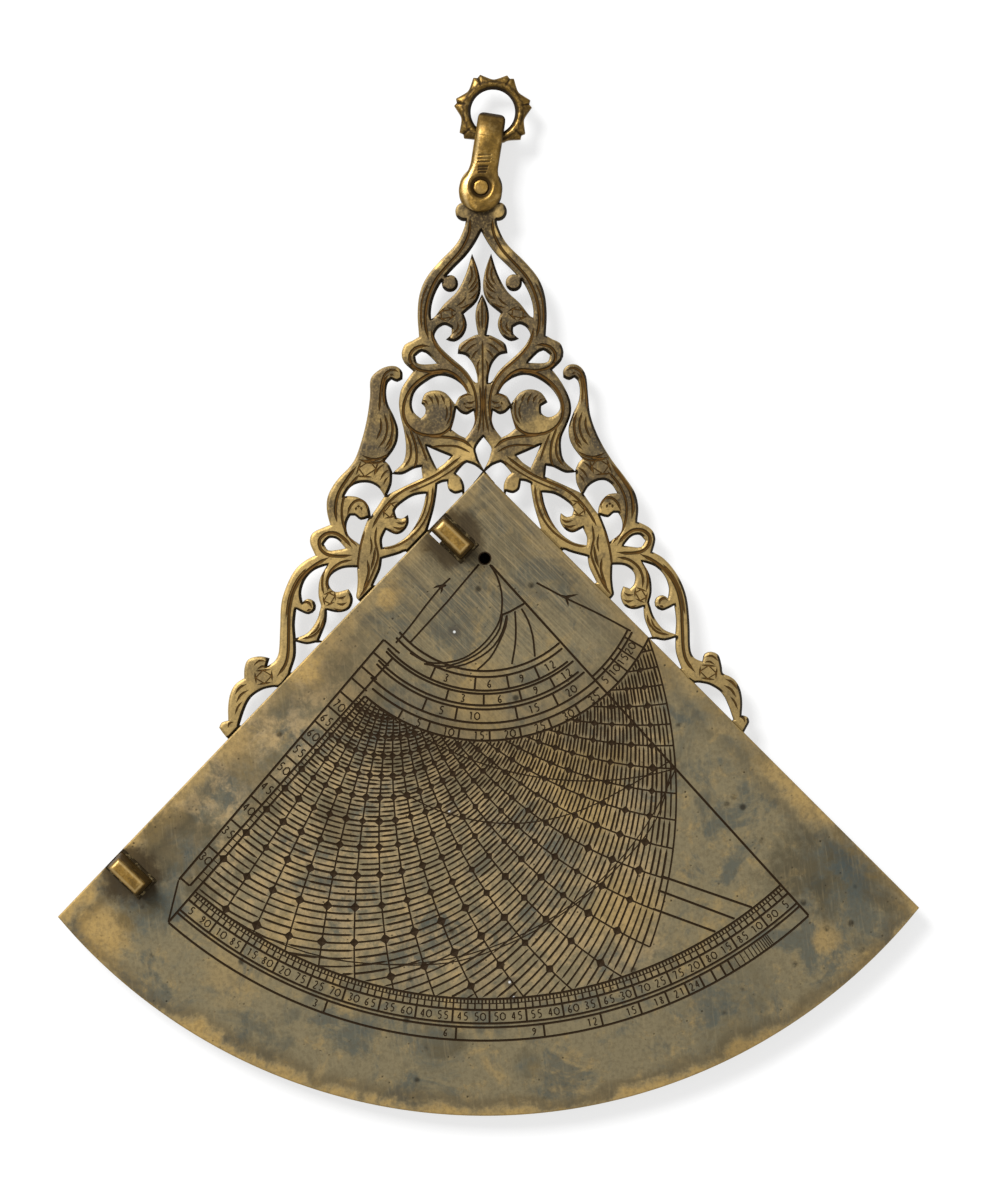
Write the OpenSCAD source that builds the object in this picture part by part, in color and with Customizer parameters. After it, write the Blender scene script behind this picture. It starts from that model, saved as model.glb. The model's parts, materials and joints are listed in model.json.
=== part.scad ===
// Astrolabe quadrant: an engraved quarter-circle plate under a pierced scrollwork throne, hung from
// a chased ring by a riveted shackle, with two sight vanes along the plate's left edge.
// The origin is the centre of the plumb-cord hole, from which every arc of the plate is struck.
// The engraved front faces -Y and +Z is up.

/* [Plate] */
// Radius of the plate's limb, struck from the cord hole
plate_r = 139.4; // [110:0.1:170]
// Half of the angle between the plate's two straight edges
half_angle = 44.4; // [42:0.1:46]
// Height of the plate's corner above the cord hole
corner_h = 21.5; // [18:0.5:28]
// Thickness of the plate
plate_t = 3; // [2:0.1:5]
// Diameter of the plumb-cord hole
cord_hole_d = 2.8; // [1.5:0.1:4]

/* [Throne] */
// Thickness of the pierced throne
throne_t = 3.4; // [2.5:0.1:5]
// Height of the rivet above the plate's corner
rivet_rise = 71.1; // [64:0.1:78]
// Diameter of the disc at the throne's head
head_d = 10.8; // [9:0.1:12]
// Diameter of each ear under the head
ear_d = 4.6; // [4:0.1:6]
// Diameter of the curls that hang inside the heart
curl_d = 4.2; // [4:0.1:4.6]
// Metal that the file took off the sawn edges
filed_off = 0.05; // [0.02:0.01:0.2]

/* [Shackle and rivet] */
// Lean of the shackle from the upright, towards +X
lean = 9.5; // [-12:0.5:12]
// Distance from the rivet to the bar of the ring
shackle_l = 13; // [12:0.1:18]
// Width of the strap
strap_w = 6.9; // [5:0.1:7]
// Diameter of the eye round the rivet
eye_d = 10.8; // [9:0.1:12]
// Thickness of each leg
leg_t = 1.9; // [1.4:0.1:2.6]
// Free space on each side of the throne's head
head_play = 0.3; // [0.2:0.05:0.5]
// Diameter of the loop in which the ring lies
loop_d = 4.9; // [4.8:0.1:5.4]
// Height of the crown over the ring's bar
crown_h = 6; // [5:0.1:6.4]
// Diameter of the rivet
rivet_d = 3.8; // [3:0.1:4.4]
// Running clearance of the throne's bore round the rivet
rivet_play = 0.08; // [0.03:0.01:0.1]
// Depth of the dished recess round the rivet's ends
dish_depth = 0.4; // [0.2:0.05:0.6]

/* [Suspension ring] */
// Diameter of the ring's opening
ring_bore_d = 11.1; // [10.4:0.1:12]
// Radius of the ring in the hollows between its tips
ring_hollow_r = 8.1; // [7.8:0.1:8.3]
// Radius over the ring's tips
ring_tip_r = 9.9; // [9:0.1:11]
// Greatest thickness of the ring
ring_t = 3.2; // [2.6:0.1:3.4]
// Turn of the ring's first tip from the shackle's +X side
tip_turn = 20.5; // [15:0.5:25]

/* [Sight vanes] */
// Distance of the upper vane from the plate's corner, along the edge
upper_vane_at = 17.2; // [15:0.1:30]
// Distance of the lower vane from the end of the edge
lower_vane_from_end = 20.4; // [12:0.1:40]
// Metal between the end of a vane and the plate's edge
vane_margin = 0.3; // [0.2:0.1:4]
// Length of a vane, square to the edge
vane_l = 10.6; // [8:0.1:14]
// Width of a vane at its foot
vane_w = 5; // [3.5:0.1:6]
// Height of a vane over the plate
vane_h = 10; // [7:0.1:14]
// How much each side of a vane draws in towards its top
vane_draw = 0.6; // [0.2:0.05:1]
// Diameter of the sight holes
sight_d = 1.2; // [0.8:0.1:2]
// Height of the sight holes over the plate
sight_h = 5.5; // [3.5:0.1:6]
// Width of the solder round a vane's foot
solder_w = 0.9; // [0.5:0.05:1.2]
// Height of the solder round a vane's foot
solder_h = 0.8; // [0.4:0.05:1.2]
// Width of the chink that the vane leaves open in its slot
chink_w = 0.8; // [0.5:0.05:1]

/* [Hidden] */

// Both plate and throne lie flush at the back.
plate_back = plate_t / 2;
throne_mid = plate_back - throne_t / 2;
rivet_z = corner_h + rivet_rise;

// The shackle straddles the throne's head, with the same play on both sides.
leg_gap = throne_t + 2 * head_play;
shackle_t = leg_gap + 2 * leg_t;
loop_wall = leg_t - 0.1;
eye_drop = 0.8;
neck_r = 9;
crown_corner_r = 1.6;
// How far blended curves lap over each other.
lap = 0.02;

// The bar of the ring crosses the loop at this radius of the ring.
ring_bar_r = ring_hollow_r - 1.7;
tips = 7;
tip_pitch = 360 / tips;
tip_half = 5.5;
tip_notch = 0.5;
seat_tip = 5;
ring_bevel = 0.95;

// Length of a straight edge, from the plate's corner to the limb.
edge_l = corner_h * cos(half_angle)
    + sqrt(pow(plate_r, 2) - pow(corner_h * sin(half_angle), 2));

lower_vane_at = edge_l - lower_vane_from_end;
vane_inset = vane_margin + vane_l / 2;
vane_foot_h = 1;
chink_from = -4.8;
chink_l = 3.4;

// The throne was drawn on a plate with these measures, and follows the real ones.
drawn_half_angle = 44.4;
drawn_corner = 21.5;
spread = tan(half_angle) / tan(drawn_half_angle);
neck_drop = 3.1;
ear_out = 4.2;
ear_drop = 5.8;
curl_place = [8, 68.9];
step_l = 1.3;

// Outer line of the right half of the throne, from the neck under the ear down to the wing's foot
// on the plate's edge. A third number of 1 marks a sharp corner. A fourth number says how much
// farther out the point lies on the left half, which was sawn by eye and not by template.
outer_line = [
    [0, 89.5, 1], [3.4, 89.5, 1], [3.9, 85, 1], [4.1, 83.4], [5.5, 80], [7.1, 77.8], [10.9, 74],
    [14.1, 70],
    [15.7, 66], [16.2, 61], [15.9, 55.6, 1], [17.6, 54.6], [19.4, 53.7], [20.3, 51.4], [19.8, 49.4],
    [17.4, 47, 1], [18.9, 45], [20.5, 42.4], [21.9, 39, 0, -0.8], [22, 36, 0, -1.2],
    [20.9, 33, 0, -0.8], [19.6, 30], [19.5, 27], [20.2, 24.2], [22.8, 21.7, 1], [23.6, 23.6],
    [24.7, 24.7, 1], [22.9, 26.9], [21.6, 29.4], [21.3, 32.6], [22.3, 35.8], [23.8, 39],
    [24.2, 42], [23.7, 44.3], [22.9, 45], [21.5, 44.4], [20.1, 45.1], [20.1, 46.9],
    [21.7, 48.3], [23.6, 48.2, 0, 0.6], [25, 47.1, 0, 1.4], [25.9, 45.2, 0, 2.2],
    [26.3, 41, 0, 2], [26.9, 35.4, 0, 2.2], [29, 29.6, 0, 1.6], [32, 24.4, 0, 0.7],
    [35.4, 19.8, 0, 1.5], [37.8, 16, 0, 1.3], [38.6, 12.4, 0, 0.8], [38.3, 8.8, 1, 0.3],
    [40.1, 8, 0, 0.6], [41.9, 6.7, 0, 1.2], [42.8, 4.5, 0, 0.9], [42, 1.2, 1, 0.4],
    [44.2, 0, 0, 0.6], [46.6, -2.4, 0, 0.9], [49, -6.2, 0, 0.6], [50.5, -10.6, 0, 0.5],
    [51.1, -17, 0, 0.3], [51.3, -23.4, 0, 0.6], [52.2, -25.4, 0, 0.9], [54.2, -26.3, 1, 0.5],
    [54.8, -24.4, 1, -0.7], [56.5, -23.9], [58.1, -24.6, 0, 1.3], [58.9, -26.8, 0, 1.5],
    [59.3, -29.3, 1, 1.2], [62, -30.8, 0, 0.7], [63.6, -33.4, 0, 0.5], [64.1, -36.6, 0, 0.5],
    [63.9, -39.9, 1, 0.7], [65.3, -40.3, 0, 0.9], [65.8, -41.6, 0, 1.1], [65.2, -42.8, 0, 0.9],
    [63.5, -46, 1], [0, 16, 1]];

// The drawing stretches so that the neck's top stays under the rivet.
rise = rivet_rise / (outer_line[0][1] + neck_drop - drawn_corner);

// The heart-shaped opening under the neck, which holds the leaves, the bud and the palmette.
heart_line = [
    [0, 81.8, 1], [1.8, 78.6], [4, 75.7], [7.4, 72.3], [10.4, 68.8], [12.2, 65], [12.8, 61.4],
    [12.5, 58.6, 1], [12, 56], [10.8, 53.4], [8, 50.5], [4.6, 47.5], [1.8, 44, 1], [0, 44, 1]];

// Leaf that springs from the strap and rolls over into a curl at its foot.
leaf = [
    [13.4, 59.8, 1], [12.1, 60.4], [9.5, 63.7], [6.3, 66.8], [4.1, 71], [2.4, 76.4, 1],
    [0.7, 71.6], [0.25, 67.4], [1.4, 64.2], [4.6, 61.3, 1], [3.8, 58.6], [4.9, 55.7],
    [7.2, 54.3], [9.2, 54.9, 1], [7.8, 56.2], [7.8, 57.8], [9.4, 58.5], [11.2, 57.5],
    [12, 55.8], [13.6, 57, 1]];

// Half of the slender bud that stands on the palmette.
bud = [[0, 66.2, 1], [1.1, 64], [1.75, 61.2], [1.6, 58.6], [0.9, 55, 1], [0, 55, 1]];

// Half of the palmette, down to its stem.
palmette = [
    [0, 56, 1], [1.4, 56], [3.8, 54.9], [5.8, 53.5], [6.3, 51.3, 1], [4.4, 50.9], [2.5, 48.8],
    [1.5, 45.6], [1.4, 43, 1], [0, 43, 1]];

// Openings sawn through each half, named by where they lie.
side_loop_hole = [[11.5, 48.9, 1], [13.4, 50.9], [15.2, 51.9], [16.8, 50.8], [16.3, 49.1],
    [14, 48.7]];
volute_hole = [
    [4, 41.4, 1], [5.2, 43.4], [8, 45.3], [11, 45.8], [14.2, 44.6, 0, -0.4], [17.4, 42, 0, -0.5],
    [19.2, 38.6, 0, -1.4], [18.7, 36.4, 0, -1.7], [16.4, 35.2, 0, -0.8], [14.6, 36.3],
    [14.6, 38], [16.2, 38.9, 1, -0.7], [14.6, 41.3],
    [12, 42.2], [9.4, 41.5], [7, 38.7, 1], [5.9, 40.6]];
under_bud_hole = [
    [2.5, 36.9, 1], [2.2, 34.6], [2.9, 32.4], [4.5, 30.2, 1], [6, 30.9], [8, 32.4, 1],
    [7.2, 35], [6.7, 37.5, 1], [5.7, 36.5], [4.2, 36]];
middle_hole = [[0, 30.3, 1], [1, 29.1], [1.95, 27.4, 1], [1.3, 24.8], [0, 22.3, 1]];
triangle_hole = [[8.3, 25.6, 1], [11, 26.7], [14.1, 28.1, 1], [13, 25.4], [11.7, 22.6, 1],
    [9.8, 23.9]];
corner_hole = [[0.4, 21.8, 1], [2.3, 23.3], [4.2, 24, 1], [5.5, 23], [6.9, 21.3, 1], [5.7, 20.2],
    [4.9, 18.4], [4.9, 16, 1]];
stem_hole = [[9.3, 19.3, 1], [10.5, 19.1], [11.6, 18.6, 1], [11.9, 16], [12.6, 12.4],
    [14.1, 7.4, 1], [12, 7, 1], [5.2, 15.2, 1], [5.6, 16.6, 1], [7.2, 16.2], [8.8, 17.1]];
hand_hole = [
    [14.6, 16.3, 1], [17.4, 15.9], [20.4, 14.2], [22.3, 12.2], [21.9, 10.5], [20.7, 10.2],
    [19.1, 11.2, 1], [18.9, 9.2], [20.2, 7], [22.2, 6.2], [24.6, 7.3, 1], [25.6, 5],
    [25.5, 3.1, 1], [22.6, 3.7], [19.4, 5.8], [17, 9], [15.3, 13]];
shoulder_hole = [[15.4, 20.3, 1], [15.7, 23, 1], [17.5, 22.6], [20.4, 21.2], [22.9, 21.3, 1],
    [23.1, 18.8], [24.2, 16.2, 1], [20, 18.2]];
edge_hole = [[19.8, 1.9, 1], [22, 1.1], [25.7, 0.1, 1], [26.1, -2.4], [27.9, -6.3, 1],
    [26, -7, 1], [18.6, 1, 1]];
wing_hole = [
    [25, 15.8, 1], [26.2, 17.7], [28.5, 19.1], [30.6, 19.1, 0, 0.9], [32.1, 18, 0, 1.5],
    [33.3, 16, 1, 1.6], [31.2, 15.8, 0, 0.8], [29.6, 14.5], [28.7, 12.8], [28.4, 10.9, 1], [27, 12.8]];
curl_hole = [
    [29.1, 10.4, 1], [31, 9.9], [32.5, 11], [33.5, 11], [34.5, 8.6], [34, 6.1], [31.3, 3.9, 1],
    [30.6, 6.4]];
wing_loop_hole = [[34.9, 2.9, 1], [36.8, 5], [38.9, 5.4], [40.2, 4], [39.2, 2.5], [37.2, 2.5]];
foot_hole = [
    [32, -2, 1], [35, -2.2, 0, 0.6], [37.2, -3.9, 0, 1.3], [37.5, -6, 0, 1.6], [36.3, -7.9, 0, 1.3],
    [34.6, -7.3, 1, -0.4],
    [33.9, -9.6, 0, -0.8], [34.9, -12.3, 0, -0.9], [37.3, -13.2, 0, -0.4],
    [39.6, -12.6, 1], [39.8, -15.4],
    [41.6, -20, 1], [40, -20.4, 1], [31, -11, 1], [32.3, -9.4, 1], [31.9, -5.5]];
foot_loop_hole = [
    [39.6, -1.4, 1], [42.6, -2.5], [44.9, -4.8], [46, -8], [45.7, -10.4, 1], [44.4, -9.6],
    [42.7, -10.4], [42.5, -12.4], [44.2, -13.6], [46, -13], [47.3, -12.3, 1], [47.7, -16],
    [47.5, -19.4, 1], [44.6, -18.2], [42.2, -15], [41.1, -11.4, 1], [41.7, -9], [41.4, -5]];
tail_hole = [[42.5, -20.7, 1], [44.8, -21.1], [47.5, -20.4, 1], [47.6, -24], [48.9, -28, 1],
    [47, -28, 1], [40, -20.6, 1]];
end_hole = [[52.8, -31.7, 1], [55.6, -32.2], [58.8, -34.2], [60.4, -37], [61.8, -41, 1],
    [60.5, -42, 1], [51, -32, 1]];

function unit(v) = norm(v) > 0 ? v / norm(v) : [0, 0];

// A drawn point at its place on the real plate. Left is 1 on the left half and 0 on the right.
function placed(p, left) = [
    (p[0] + (len(p) > 3 ? left * p[3] : 0)) * spread,
    corner_h + (p[1] - drawn_corner) * (p[1] > drawn_corner ? rise : 1)];

function is_sharp(p) = len(p) > 2 && p[2] == 1;

// Direction of a closed line at point i, towards the given side where the point is a sharp corner.
function heading(line, i, side, left) =
    let (n = len(line), here = placed(line[i % n], left))
    let (back = placed(line[(i + n - 1) % n], left), on = placed(line[(i + 1) % n], left))
    !is_sharp(line[i % n]) ? unit(on - back) : side > 0 ? unit(on - here) : unit(here - back);

// Smooth closed line through the drawn points.
function curved(line, left) = [
    for (i = [0 : len(line) - 1])
        let (p = line[i], q = line[(i + 1) % len(line)])
        let (a = placed(p, left), b = placed(q, left))
        let (chord = norm(b - a), steps = max(1, min(3, round(chord / step_l))))
        let (ta = heading(line, i, 1, left) * chord, tb = heading(line, i + 1, -1, left) * chord)
        for (k = [0 : is_sharp(p) && is_sharp(q) ? 0 : steps - 1])
            let (u = k / steps)
            (2 * pow(u, 3) - 3 * pow(u, 2) + 1) * a + (pow(u, 3) - 2 * pow(u, 2) + u) * ta
                + (3 * pow(u, 2) - 2 * pow(u, 3)) * b + (pow(u, 3) - pow(u, 2)) * tb];

module sawn_openings(left) {
    for (line = [side_loop_hole, volute_hole, under_bud_hole, middle_hole, triangle_hole,
        corner_hole, stem_hole, hand_hole, shoulder_hole, edge_hole, wing_hole, curl_hole,
        wing_loop_hole, foot_hole, foot_loop_hole, tail_hole, end_hole])
        polygon(curved(line, left));
    difference() {
        polygon(curved(heart_line, left));
        for (line = [leaf, bud, palmette])
            polygon(curved(line, left));
        translate(placed(curl_place, left)) circle(d = curl_d, $fn = 28);
    }
}

module scrollwork() {
    for (left = [0, 1]) mirror([left, 0]) difference() {
        union() {
            polygon(curved(outer_line, left));
            translate([ear_out, rivet_z - ear_drop]) circle(d = ear_d, $fn = 32);
        }
        sawn_openings(left);
    }
}

// Turns a drawing so that its second axis points up, centred on depth y.
module upright(y, t) {
    translate([0, y, 0]) rotate([90, 0, 0]) linear_extrude(t, center = true) children();
}

module plate_wedge(t) {
    reach = 3 * plate_r;
    upright(0, t) polygon([[0, corner_h], [-reach * sin(half_angle), corner_h - reach * cos(half_angle)],
        [reach * sin(half_angle), corner_h - reach * cos(half_angle)]]);
}

// Puts what follows on the left edge, at distance t from the plate's corner: +X runs down the edge,
// +Y inwards over the plate, and +Z out of its front, from the middle of its thickness.
module at_edge(t) {
    translate([0, 0, corner_h]) rotate([0, 90 + half_angle, 0]) rotate([90, 0, 0])
        translate([t, vane_inset, 0]) children();
}

module block(w, l, z0, z1) {
    translate([-w / 2, -l / 2, z0]) cube([w, l, z1 - z0]);
}

module chink(top) {
    translate([vane_w / 2 - 0.1, chink_from, -plate_t]) cube([chink_w + 0.1, chink_l, plate_t + top]);
}

module quadrant_plate() {
    color("darkkhaki") difference() {
        intersection() {
            rotate([90, 0, 0]) cylinder(r = plate_r, h = plate_t, center = true, $fn = 240);
            plate_wedge(2 * plate_t);
        }
        rotate([90, 0, 0]) cylinder(d = cord_hole_d, h = 2 * plate_t, center = true, $fn = 32);
        at_edge(upper_vane_at) {
            block(vane_w, vane_l, -plate_t, plate_t);
            chink(plate_t);
        }
        at_edge(lower_vane_at) block(vane_w, vane_l, -plate_t, plate_t);
    }
}

module sight_vane() {
    top = plate_t / 2 + vane_h;
    drawn_in = 2 * vane_draw;
    color("gold") difference() {
        union() {
            block(vane_w, vane_l, -plate_t / 2, plate_t / 2 + vane_foot_h);
            hull() {
                block(vane_w, vane_l, plate_t / 2 + vane_foot_h / 2, plate_t / 2 + vane_foot_h);
                block(vane_w - drawn_in, vane_l - drawn_in, top - vane_draw - 0.1, top - vane_draw);
                block(vane_w - 2 * drawn_in, vane_l - 2 * drawn_in, top - 0.1, top);
            }
        }
        translate([0, 0, plate_t / 2 + sight_h]) rotate([0, 90, 0])
            cylinder(d = sight_d, h = 2 * vane_w, center = true, $fn = 24);
    }
}

module vane_solder(t, open_chink) {
    front = plate_t / 2;
    color("palegoldenrod") difference() {
        at_edge(t) hull() {
            block(vane_w + 2 * solder_w, vane_l + 2 * solder_w, front, front + 0.1);
            block(vane_w + solder_w / 2, vane_l + solder_w / 2, front, front + solder_h);
        }
        at_edge(t) block(vane_w, vane_l, -plate_t, 2 * plate_t);
        if (open_chink) at_edge(t) chink(2 * plate_t);
        // Trims what would stand over the plate's edge.
        at_edge(t) translate([-vane_w, -2 * vane_l - vane_inset, 0])
            cube([2 * vane_w, 2 * vane_l, 2 * plate_t]);
    }
}

module throne() {
    color("goldenrod") difference() {
        union() {
            upright(throne_mid, throne_t) offset(delta = -filed_off) scrollwork();
            translate([0, throne_mid, rivet_z]) rotate([90, 0, 0])
                cylinder(d = head_d, h = throne_t, center = true, $fn = 64);
        }
        plate_wedge(3 * throne_t);
        translate([0, throne_mid, rivet_z]) rotate([90, 0, 0])
            cylinder(d = rivet_d + 2 * rivet_play, h = 2 * throne_t, center = true, $fn = 48);
    }
}

// Puts what follows at the rivet, turned with the shackle's lean.
module on_rivet() {
    translate([0, throne_mid, rivet_z]) rotate([0, lean, 0]) children();
}

module shackle_front() {
    neck_x = strap_w / 2 + neck_r - lap;
    neck_y = sqrt(pow(eye_d / 2 + neck_r - lap, 2) - pow(neck_x, 2)) - eye_drop;
    top = shackle_l + crown_h;
    translate([0, -eye_drop]) circle(d = eye_d, $fn = 96);
    translate([-strap_w / 2, 0]) square([strap_w, top - crown_corner_r]);
    translate([-strap_w / 2 + crown_corner_r, 0]) square([strap_w - 2 * crown_corner_r, top]);
    for (side = [-1, 1])
        translate([side * (strap_w / 2 - crown_corner_r), top - crown_corner_r])
            circle(r = crown_corner_r, $fn = 32);
    difference() {
        polygon([[0, -eye_drop], [neck_x, neck_y], [-neck_x, neck_y]]);
        for (side = [-1, 1])
            translate([side * neck_x, neck_y]) circle(r = neck_r, $fn = 64);
    }
}

module shackle_side() {
    crown_a = loop_d / 2 + loop_wall;
    difference() {
        union() {
            translate([-shackle_t / 2, -eye_d]) square([shackle_t, eye_d + shackle_l + loop_wall / 2]);
            polygon([for (a = [0 : 6 : 180]) [crown_a * cos(a), shackle_l + crown_h * sin(a)]]);
        }
        translate([-leg_gap / 2, -2 * eye_d]) square([leg_gap, 2 * eye_d + shackle_l]);
    }
}

module shackle() {
    color("darkgoldenrod") on_rivet() difference() {
        intersection() {
            upright(0, 3 * shackle_t) shackle_front();
            rotate([90, 0, 90]) linear_extrude(2 * eye_d, center = true) shackle_side();
        }
        translate([0, 0, shackle_l]) rotate([0, 90, 0])
            cylinder(d = loop_d, h = 2 * eye_d, center = true, $fn = 64);
        rotate([90, 0, 0]) cylinder(d = rivet_d, h = 2 * shackle_t, center = true, $fn = 48);
        for (side = [-1, 1])
            translate([0, side * shackle_t / 2, 0]) rotate([90, 0, 0])
                cylinder(d = rivet_d + 1.4, h = 2 * dish_depth, center = true, $fn = 48);
    }
}

module shackle_rivet() {
    half = shackle_t / 2;
    color("gold") on_rivet() rotate([90, 0, 0]) rotate_extrude($fn = 48) polygon([
        [0, -half], [rivet_d / 2 - 0.5, -half], [rivet_d / 2, -half + 0.3],
        [rivet_d / 2, half - 0.3], [rivet_d / 2 - 0.5, half], [0, half]]);
}

// Radius of the ring's outline, at an angle from a tip.
function ring_r(from_tip, tip) =
    let (t = (tip_pitch / 2 - abs(from_tip)) / (tip_pitch / 2 - tip_half))
    tip == seat_tip ? ring_hollow_r
    : abs(from_tip) < tip_half ? ring_tip_r - tip_notch * (1 - abs(from_tip) / tip_half)
    : ring_hollow_r + (ring_tip_r - ring_hollow_r) * pow(t, 1.7);

module ring_outline() {
    polygon([for (tip = [0 : tips - 1])
        for (share = [-1, -0.75, -0.5, -0.35, -0.25])
            let (a = share * tip_pitch / 2)
            let (turn = tip_turn + tip * tip_pitch + a)
            ring_r(a, tip) * [cos(turn), sin(turn)]]);
}

module suspension_ring() {
    face_r = ring_bore_d / 2 + ring_bevel;
    rim_t = 0.7 * ring_t;
    color("darkgoldenrod") on_rivet() translate([0, 0, shackle_l + ring_bar_r]) intersection() {
        upright(0, 2 * ring_t) ring_outline();
        rotate([90, 0, 0]) rotate_extrude($fn = 96) polygon([
            [ring_bore_d / 2, -ring_t / 6], [ring_bore_d / 2, ring_t / 6],
            [face_r, ring_t / 2], [1.1 * ring_tip_r, rim_t / 2],
            [1.1 * ring_tip_r, -rim_t / 2], [face_r, -ring_t / 2]]);
    }
}

quadrant_plate();
throne();
suspension_ring();
shackle();
shackle_rivet();
at_edge(upper_vane_at) sight_vane();  // upper_sight_vane
at_edge(lower_vane_at) sight_vane();  // lower_sight_vane
vane_solder(upper_vane_at, true);  // upper_vane_solder
vane_solder(lower_vane_at, false);  // lower_vane_solder
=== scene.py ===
"""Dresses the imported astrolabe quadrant: its engraved plate, carved throne and old brass."""

import json
import math
import random

import bmesh
import bpy
import numpy as np
from mathutils import Matrix, Vector
from mathutils.geometry import delaunay_2d_cdt


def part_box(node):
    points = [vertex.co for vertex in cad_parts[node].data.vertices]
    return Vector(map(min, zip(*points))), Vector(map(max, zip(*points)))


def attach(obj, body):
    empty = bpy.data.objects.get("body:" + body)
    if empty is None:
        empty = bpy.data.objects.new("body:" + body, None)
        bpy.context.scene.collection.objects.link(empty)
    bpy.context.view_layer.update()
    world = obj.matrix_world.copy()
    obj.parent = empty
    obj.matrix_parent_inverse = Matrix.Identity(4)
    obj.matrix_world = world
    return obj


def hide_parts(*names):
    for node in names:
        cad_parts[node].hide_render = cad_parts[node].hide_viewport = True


bl_info = {
    "name": "Astrolabe quadrant",
    "version": (1, 0, 0),
    "blender": (4, 5, 0),
    "location": "3D View > Sidebar > Quadrant",
    "description": "Engraves, carves and finishes a brass astrolabe quadrant",
    "category": "Object",
}

# The frame comes first, because sizes follow from it.
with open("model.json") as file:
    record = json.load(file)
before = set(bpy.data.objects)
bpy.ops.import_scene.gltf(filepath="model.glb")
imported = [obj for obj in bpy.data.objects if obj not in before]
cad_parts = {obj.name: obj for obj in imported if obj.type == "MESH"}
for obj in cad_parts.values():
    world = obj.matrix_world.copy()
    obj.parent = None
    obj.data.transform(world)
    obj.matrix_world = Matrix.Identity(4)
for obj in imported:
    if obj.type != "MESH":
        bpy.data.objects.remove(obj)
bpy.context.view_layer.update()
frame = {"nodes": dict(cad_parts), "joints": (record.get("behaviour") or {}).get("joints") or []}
MM = 0.001

QUADRANT = "quadrant"
SHACKLE = "shackle"
RING = "suspension_ring"

plate_low, plate_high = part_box("quadrant_plate")
throne_low, throne_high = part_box("throne")
limb_r = -plate_low.z / MM
corner_h = plate_high.z / MM
tip_x = plate_high.x / MM
half_angle = math.atan2(tip_x, corner_h + math.sqrt(limb_r ** 2 - tip_x ** 2))
plate_front = plate_low.y
plate_back = plate_high.y
throne_front = throne_low.y
throne_back = throne_high.y

ring_hinge = next(j for j in frame["joints"] if j["name"] == "ring_swing")
rivet_hinge = next(j for j in frame["joints"] if j["name"] == "rivet_swing")
rivet_place = Vector(rivet_hinge["pos_m"])
bar_place = Vector(ring_hinge["pos_m"])
lean = math.atan2(bar_place.x - rivet_place.x, bar_place.z - rivet_place.z)

# The camera's view, in millimetres: its width at the plate, how far away it stands, and its centre
# from the cord hole.
photo_span = 250.0
camera_distance = 1000.0
view_centre = (3.7, -10.7)
roll_degrees = 0.6


# Shader and geometry arithmetic

class Value:
    """A socket that takes part in Python arithmetic: each operator adds a Math node."""

    def __init__(self, nodes, socket):
        self.nodes = nodes
        self.socket = socket

    def math(self, operation, *others):
        inputs = {0: self}
        for place, other in enumerate(others):
            inputs[place + 1] = other
        return self.nodes.add("ShaderNodeMath", {"operation": operation}, inputs)

    def __add__(self, other):
        return self.math("ADD", other)

    __radd__ = __add__

    def __mul__(self, other):
        return self.math("MULTIPLY", other)

    __rmul__ = __mul__

    def __sub__(self, other):
        return self.math("SUBTRACT", other)

    def __rsub__(self, other):
        return self * -1.0 + other

    def __truediv__(self, other):
        return self.math("DIVIDE", other)

    def __rtruediv__(self, other):
        return self.math("POWER", -1.0) * other

    def __pow__(self, other):
        return self.math("POWER", other)

    def __abs__(self):
        return self.math("ABSOLUTE")

    def low(self, other):
        return self.math("MINIMUM", other)

    def high(self, other):
        return self.math("MAXIMUM", other)

    def sign(self):
        return self.math("SIGN")

    def sin(self):
        return self.math("SINE")

    def cos(self):
        return self.math("COSINE")

    def clamped(self):
        return self.low(1.0).high(0.0)


class Nodes:
    """Adds nodes to one tree, with their settings and their inputs in one call."""

    def __init__(self, tree):
        self.tree = tree

    def add(self, kind, settings=None, inputs=None, output=0):
        node = self.tree.nodes.new(kind)
        for name, setting in (settings or {}).items():
            setattr(node, name, setting)
        for key, given in (inputs or {}).items():
            if isinstance(given, Value):
                self.tree.links.new(given.socket, node.inputs[key])
            else:
                node.inputs[key].default_value = given
        return Value(self, node.outputs[output]) if len(node.outputs) else node

    def mix(self, factor, first, second):
        # A mix node's sockets for colours come after those for numbers and vectors.
        return self.add(
            "ShaderNodeMix", {"data_type": "RGBA", "clamp_factor": True},
            {0: factor, 6: first, 7: second}, output=2,
        )

    def noise(self, place, scale, detail=4.0, roughness=0.55, distortion=0.0):
        return self.add(
            "ShaderNodeTexNoise",
            {"noise_dimensions": "3D"},
            {"Vector": place, "Scale": scale, "Detail": detail, "Roughness": roughness,
             "Distortion": distortion},
        )

    def cells(self, place, scale):
        return self.add("ShaderNodeTexVoronoi", {"feature": "F1"}, {"Vector": place, "Scale": scale})

    def ease(self, value, start, stop, low=0.0, high=1.0):
        return self.add(
            "ShaderNodeMapRange", {"interpolation_type": "SMOOTHSTEP"},
            {"Value": value, "From Min": start, "From Max": stop, "To Min": low, "To Max": high},
        )

    def apart(self, vector):
        """The three parts of a vector."""
        split = self.add("ShaderNodeSeparateXYZ", None, {0: vector}).socket.node
        return [Value(self, split.outputs[i]) for i in range(3)]

    def placed(self, vector, scale=(1, 1, 1), turn=(0, 0, 0), shift=(0, 0, 0)):
        return self.add(
            "ShaderNodeMapping", None,
            {"Vector": vector, "Scale": scale, "Rotation": turn, "Location": shift},
        )

    def attribute(self, name):
        return self.add("ShaderNodeAttribute", {"attribute_name": name}, output="Fac")


def colour(values):
    return (values[0], values[1], values[2], 1.0)


# Sizes and colours that a user would change

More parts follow.
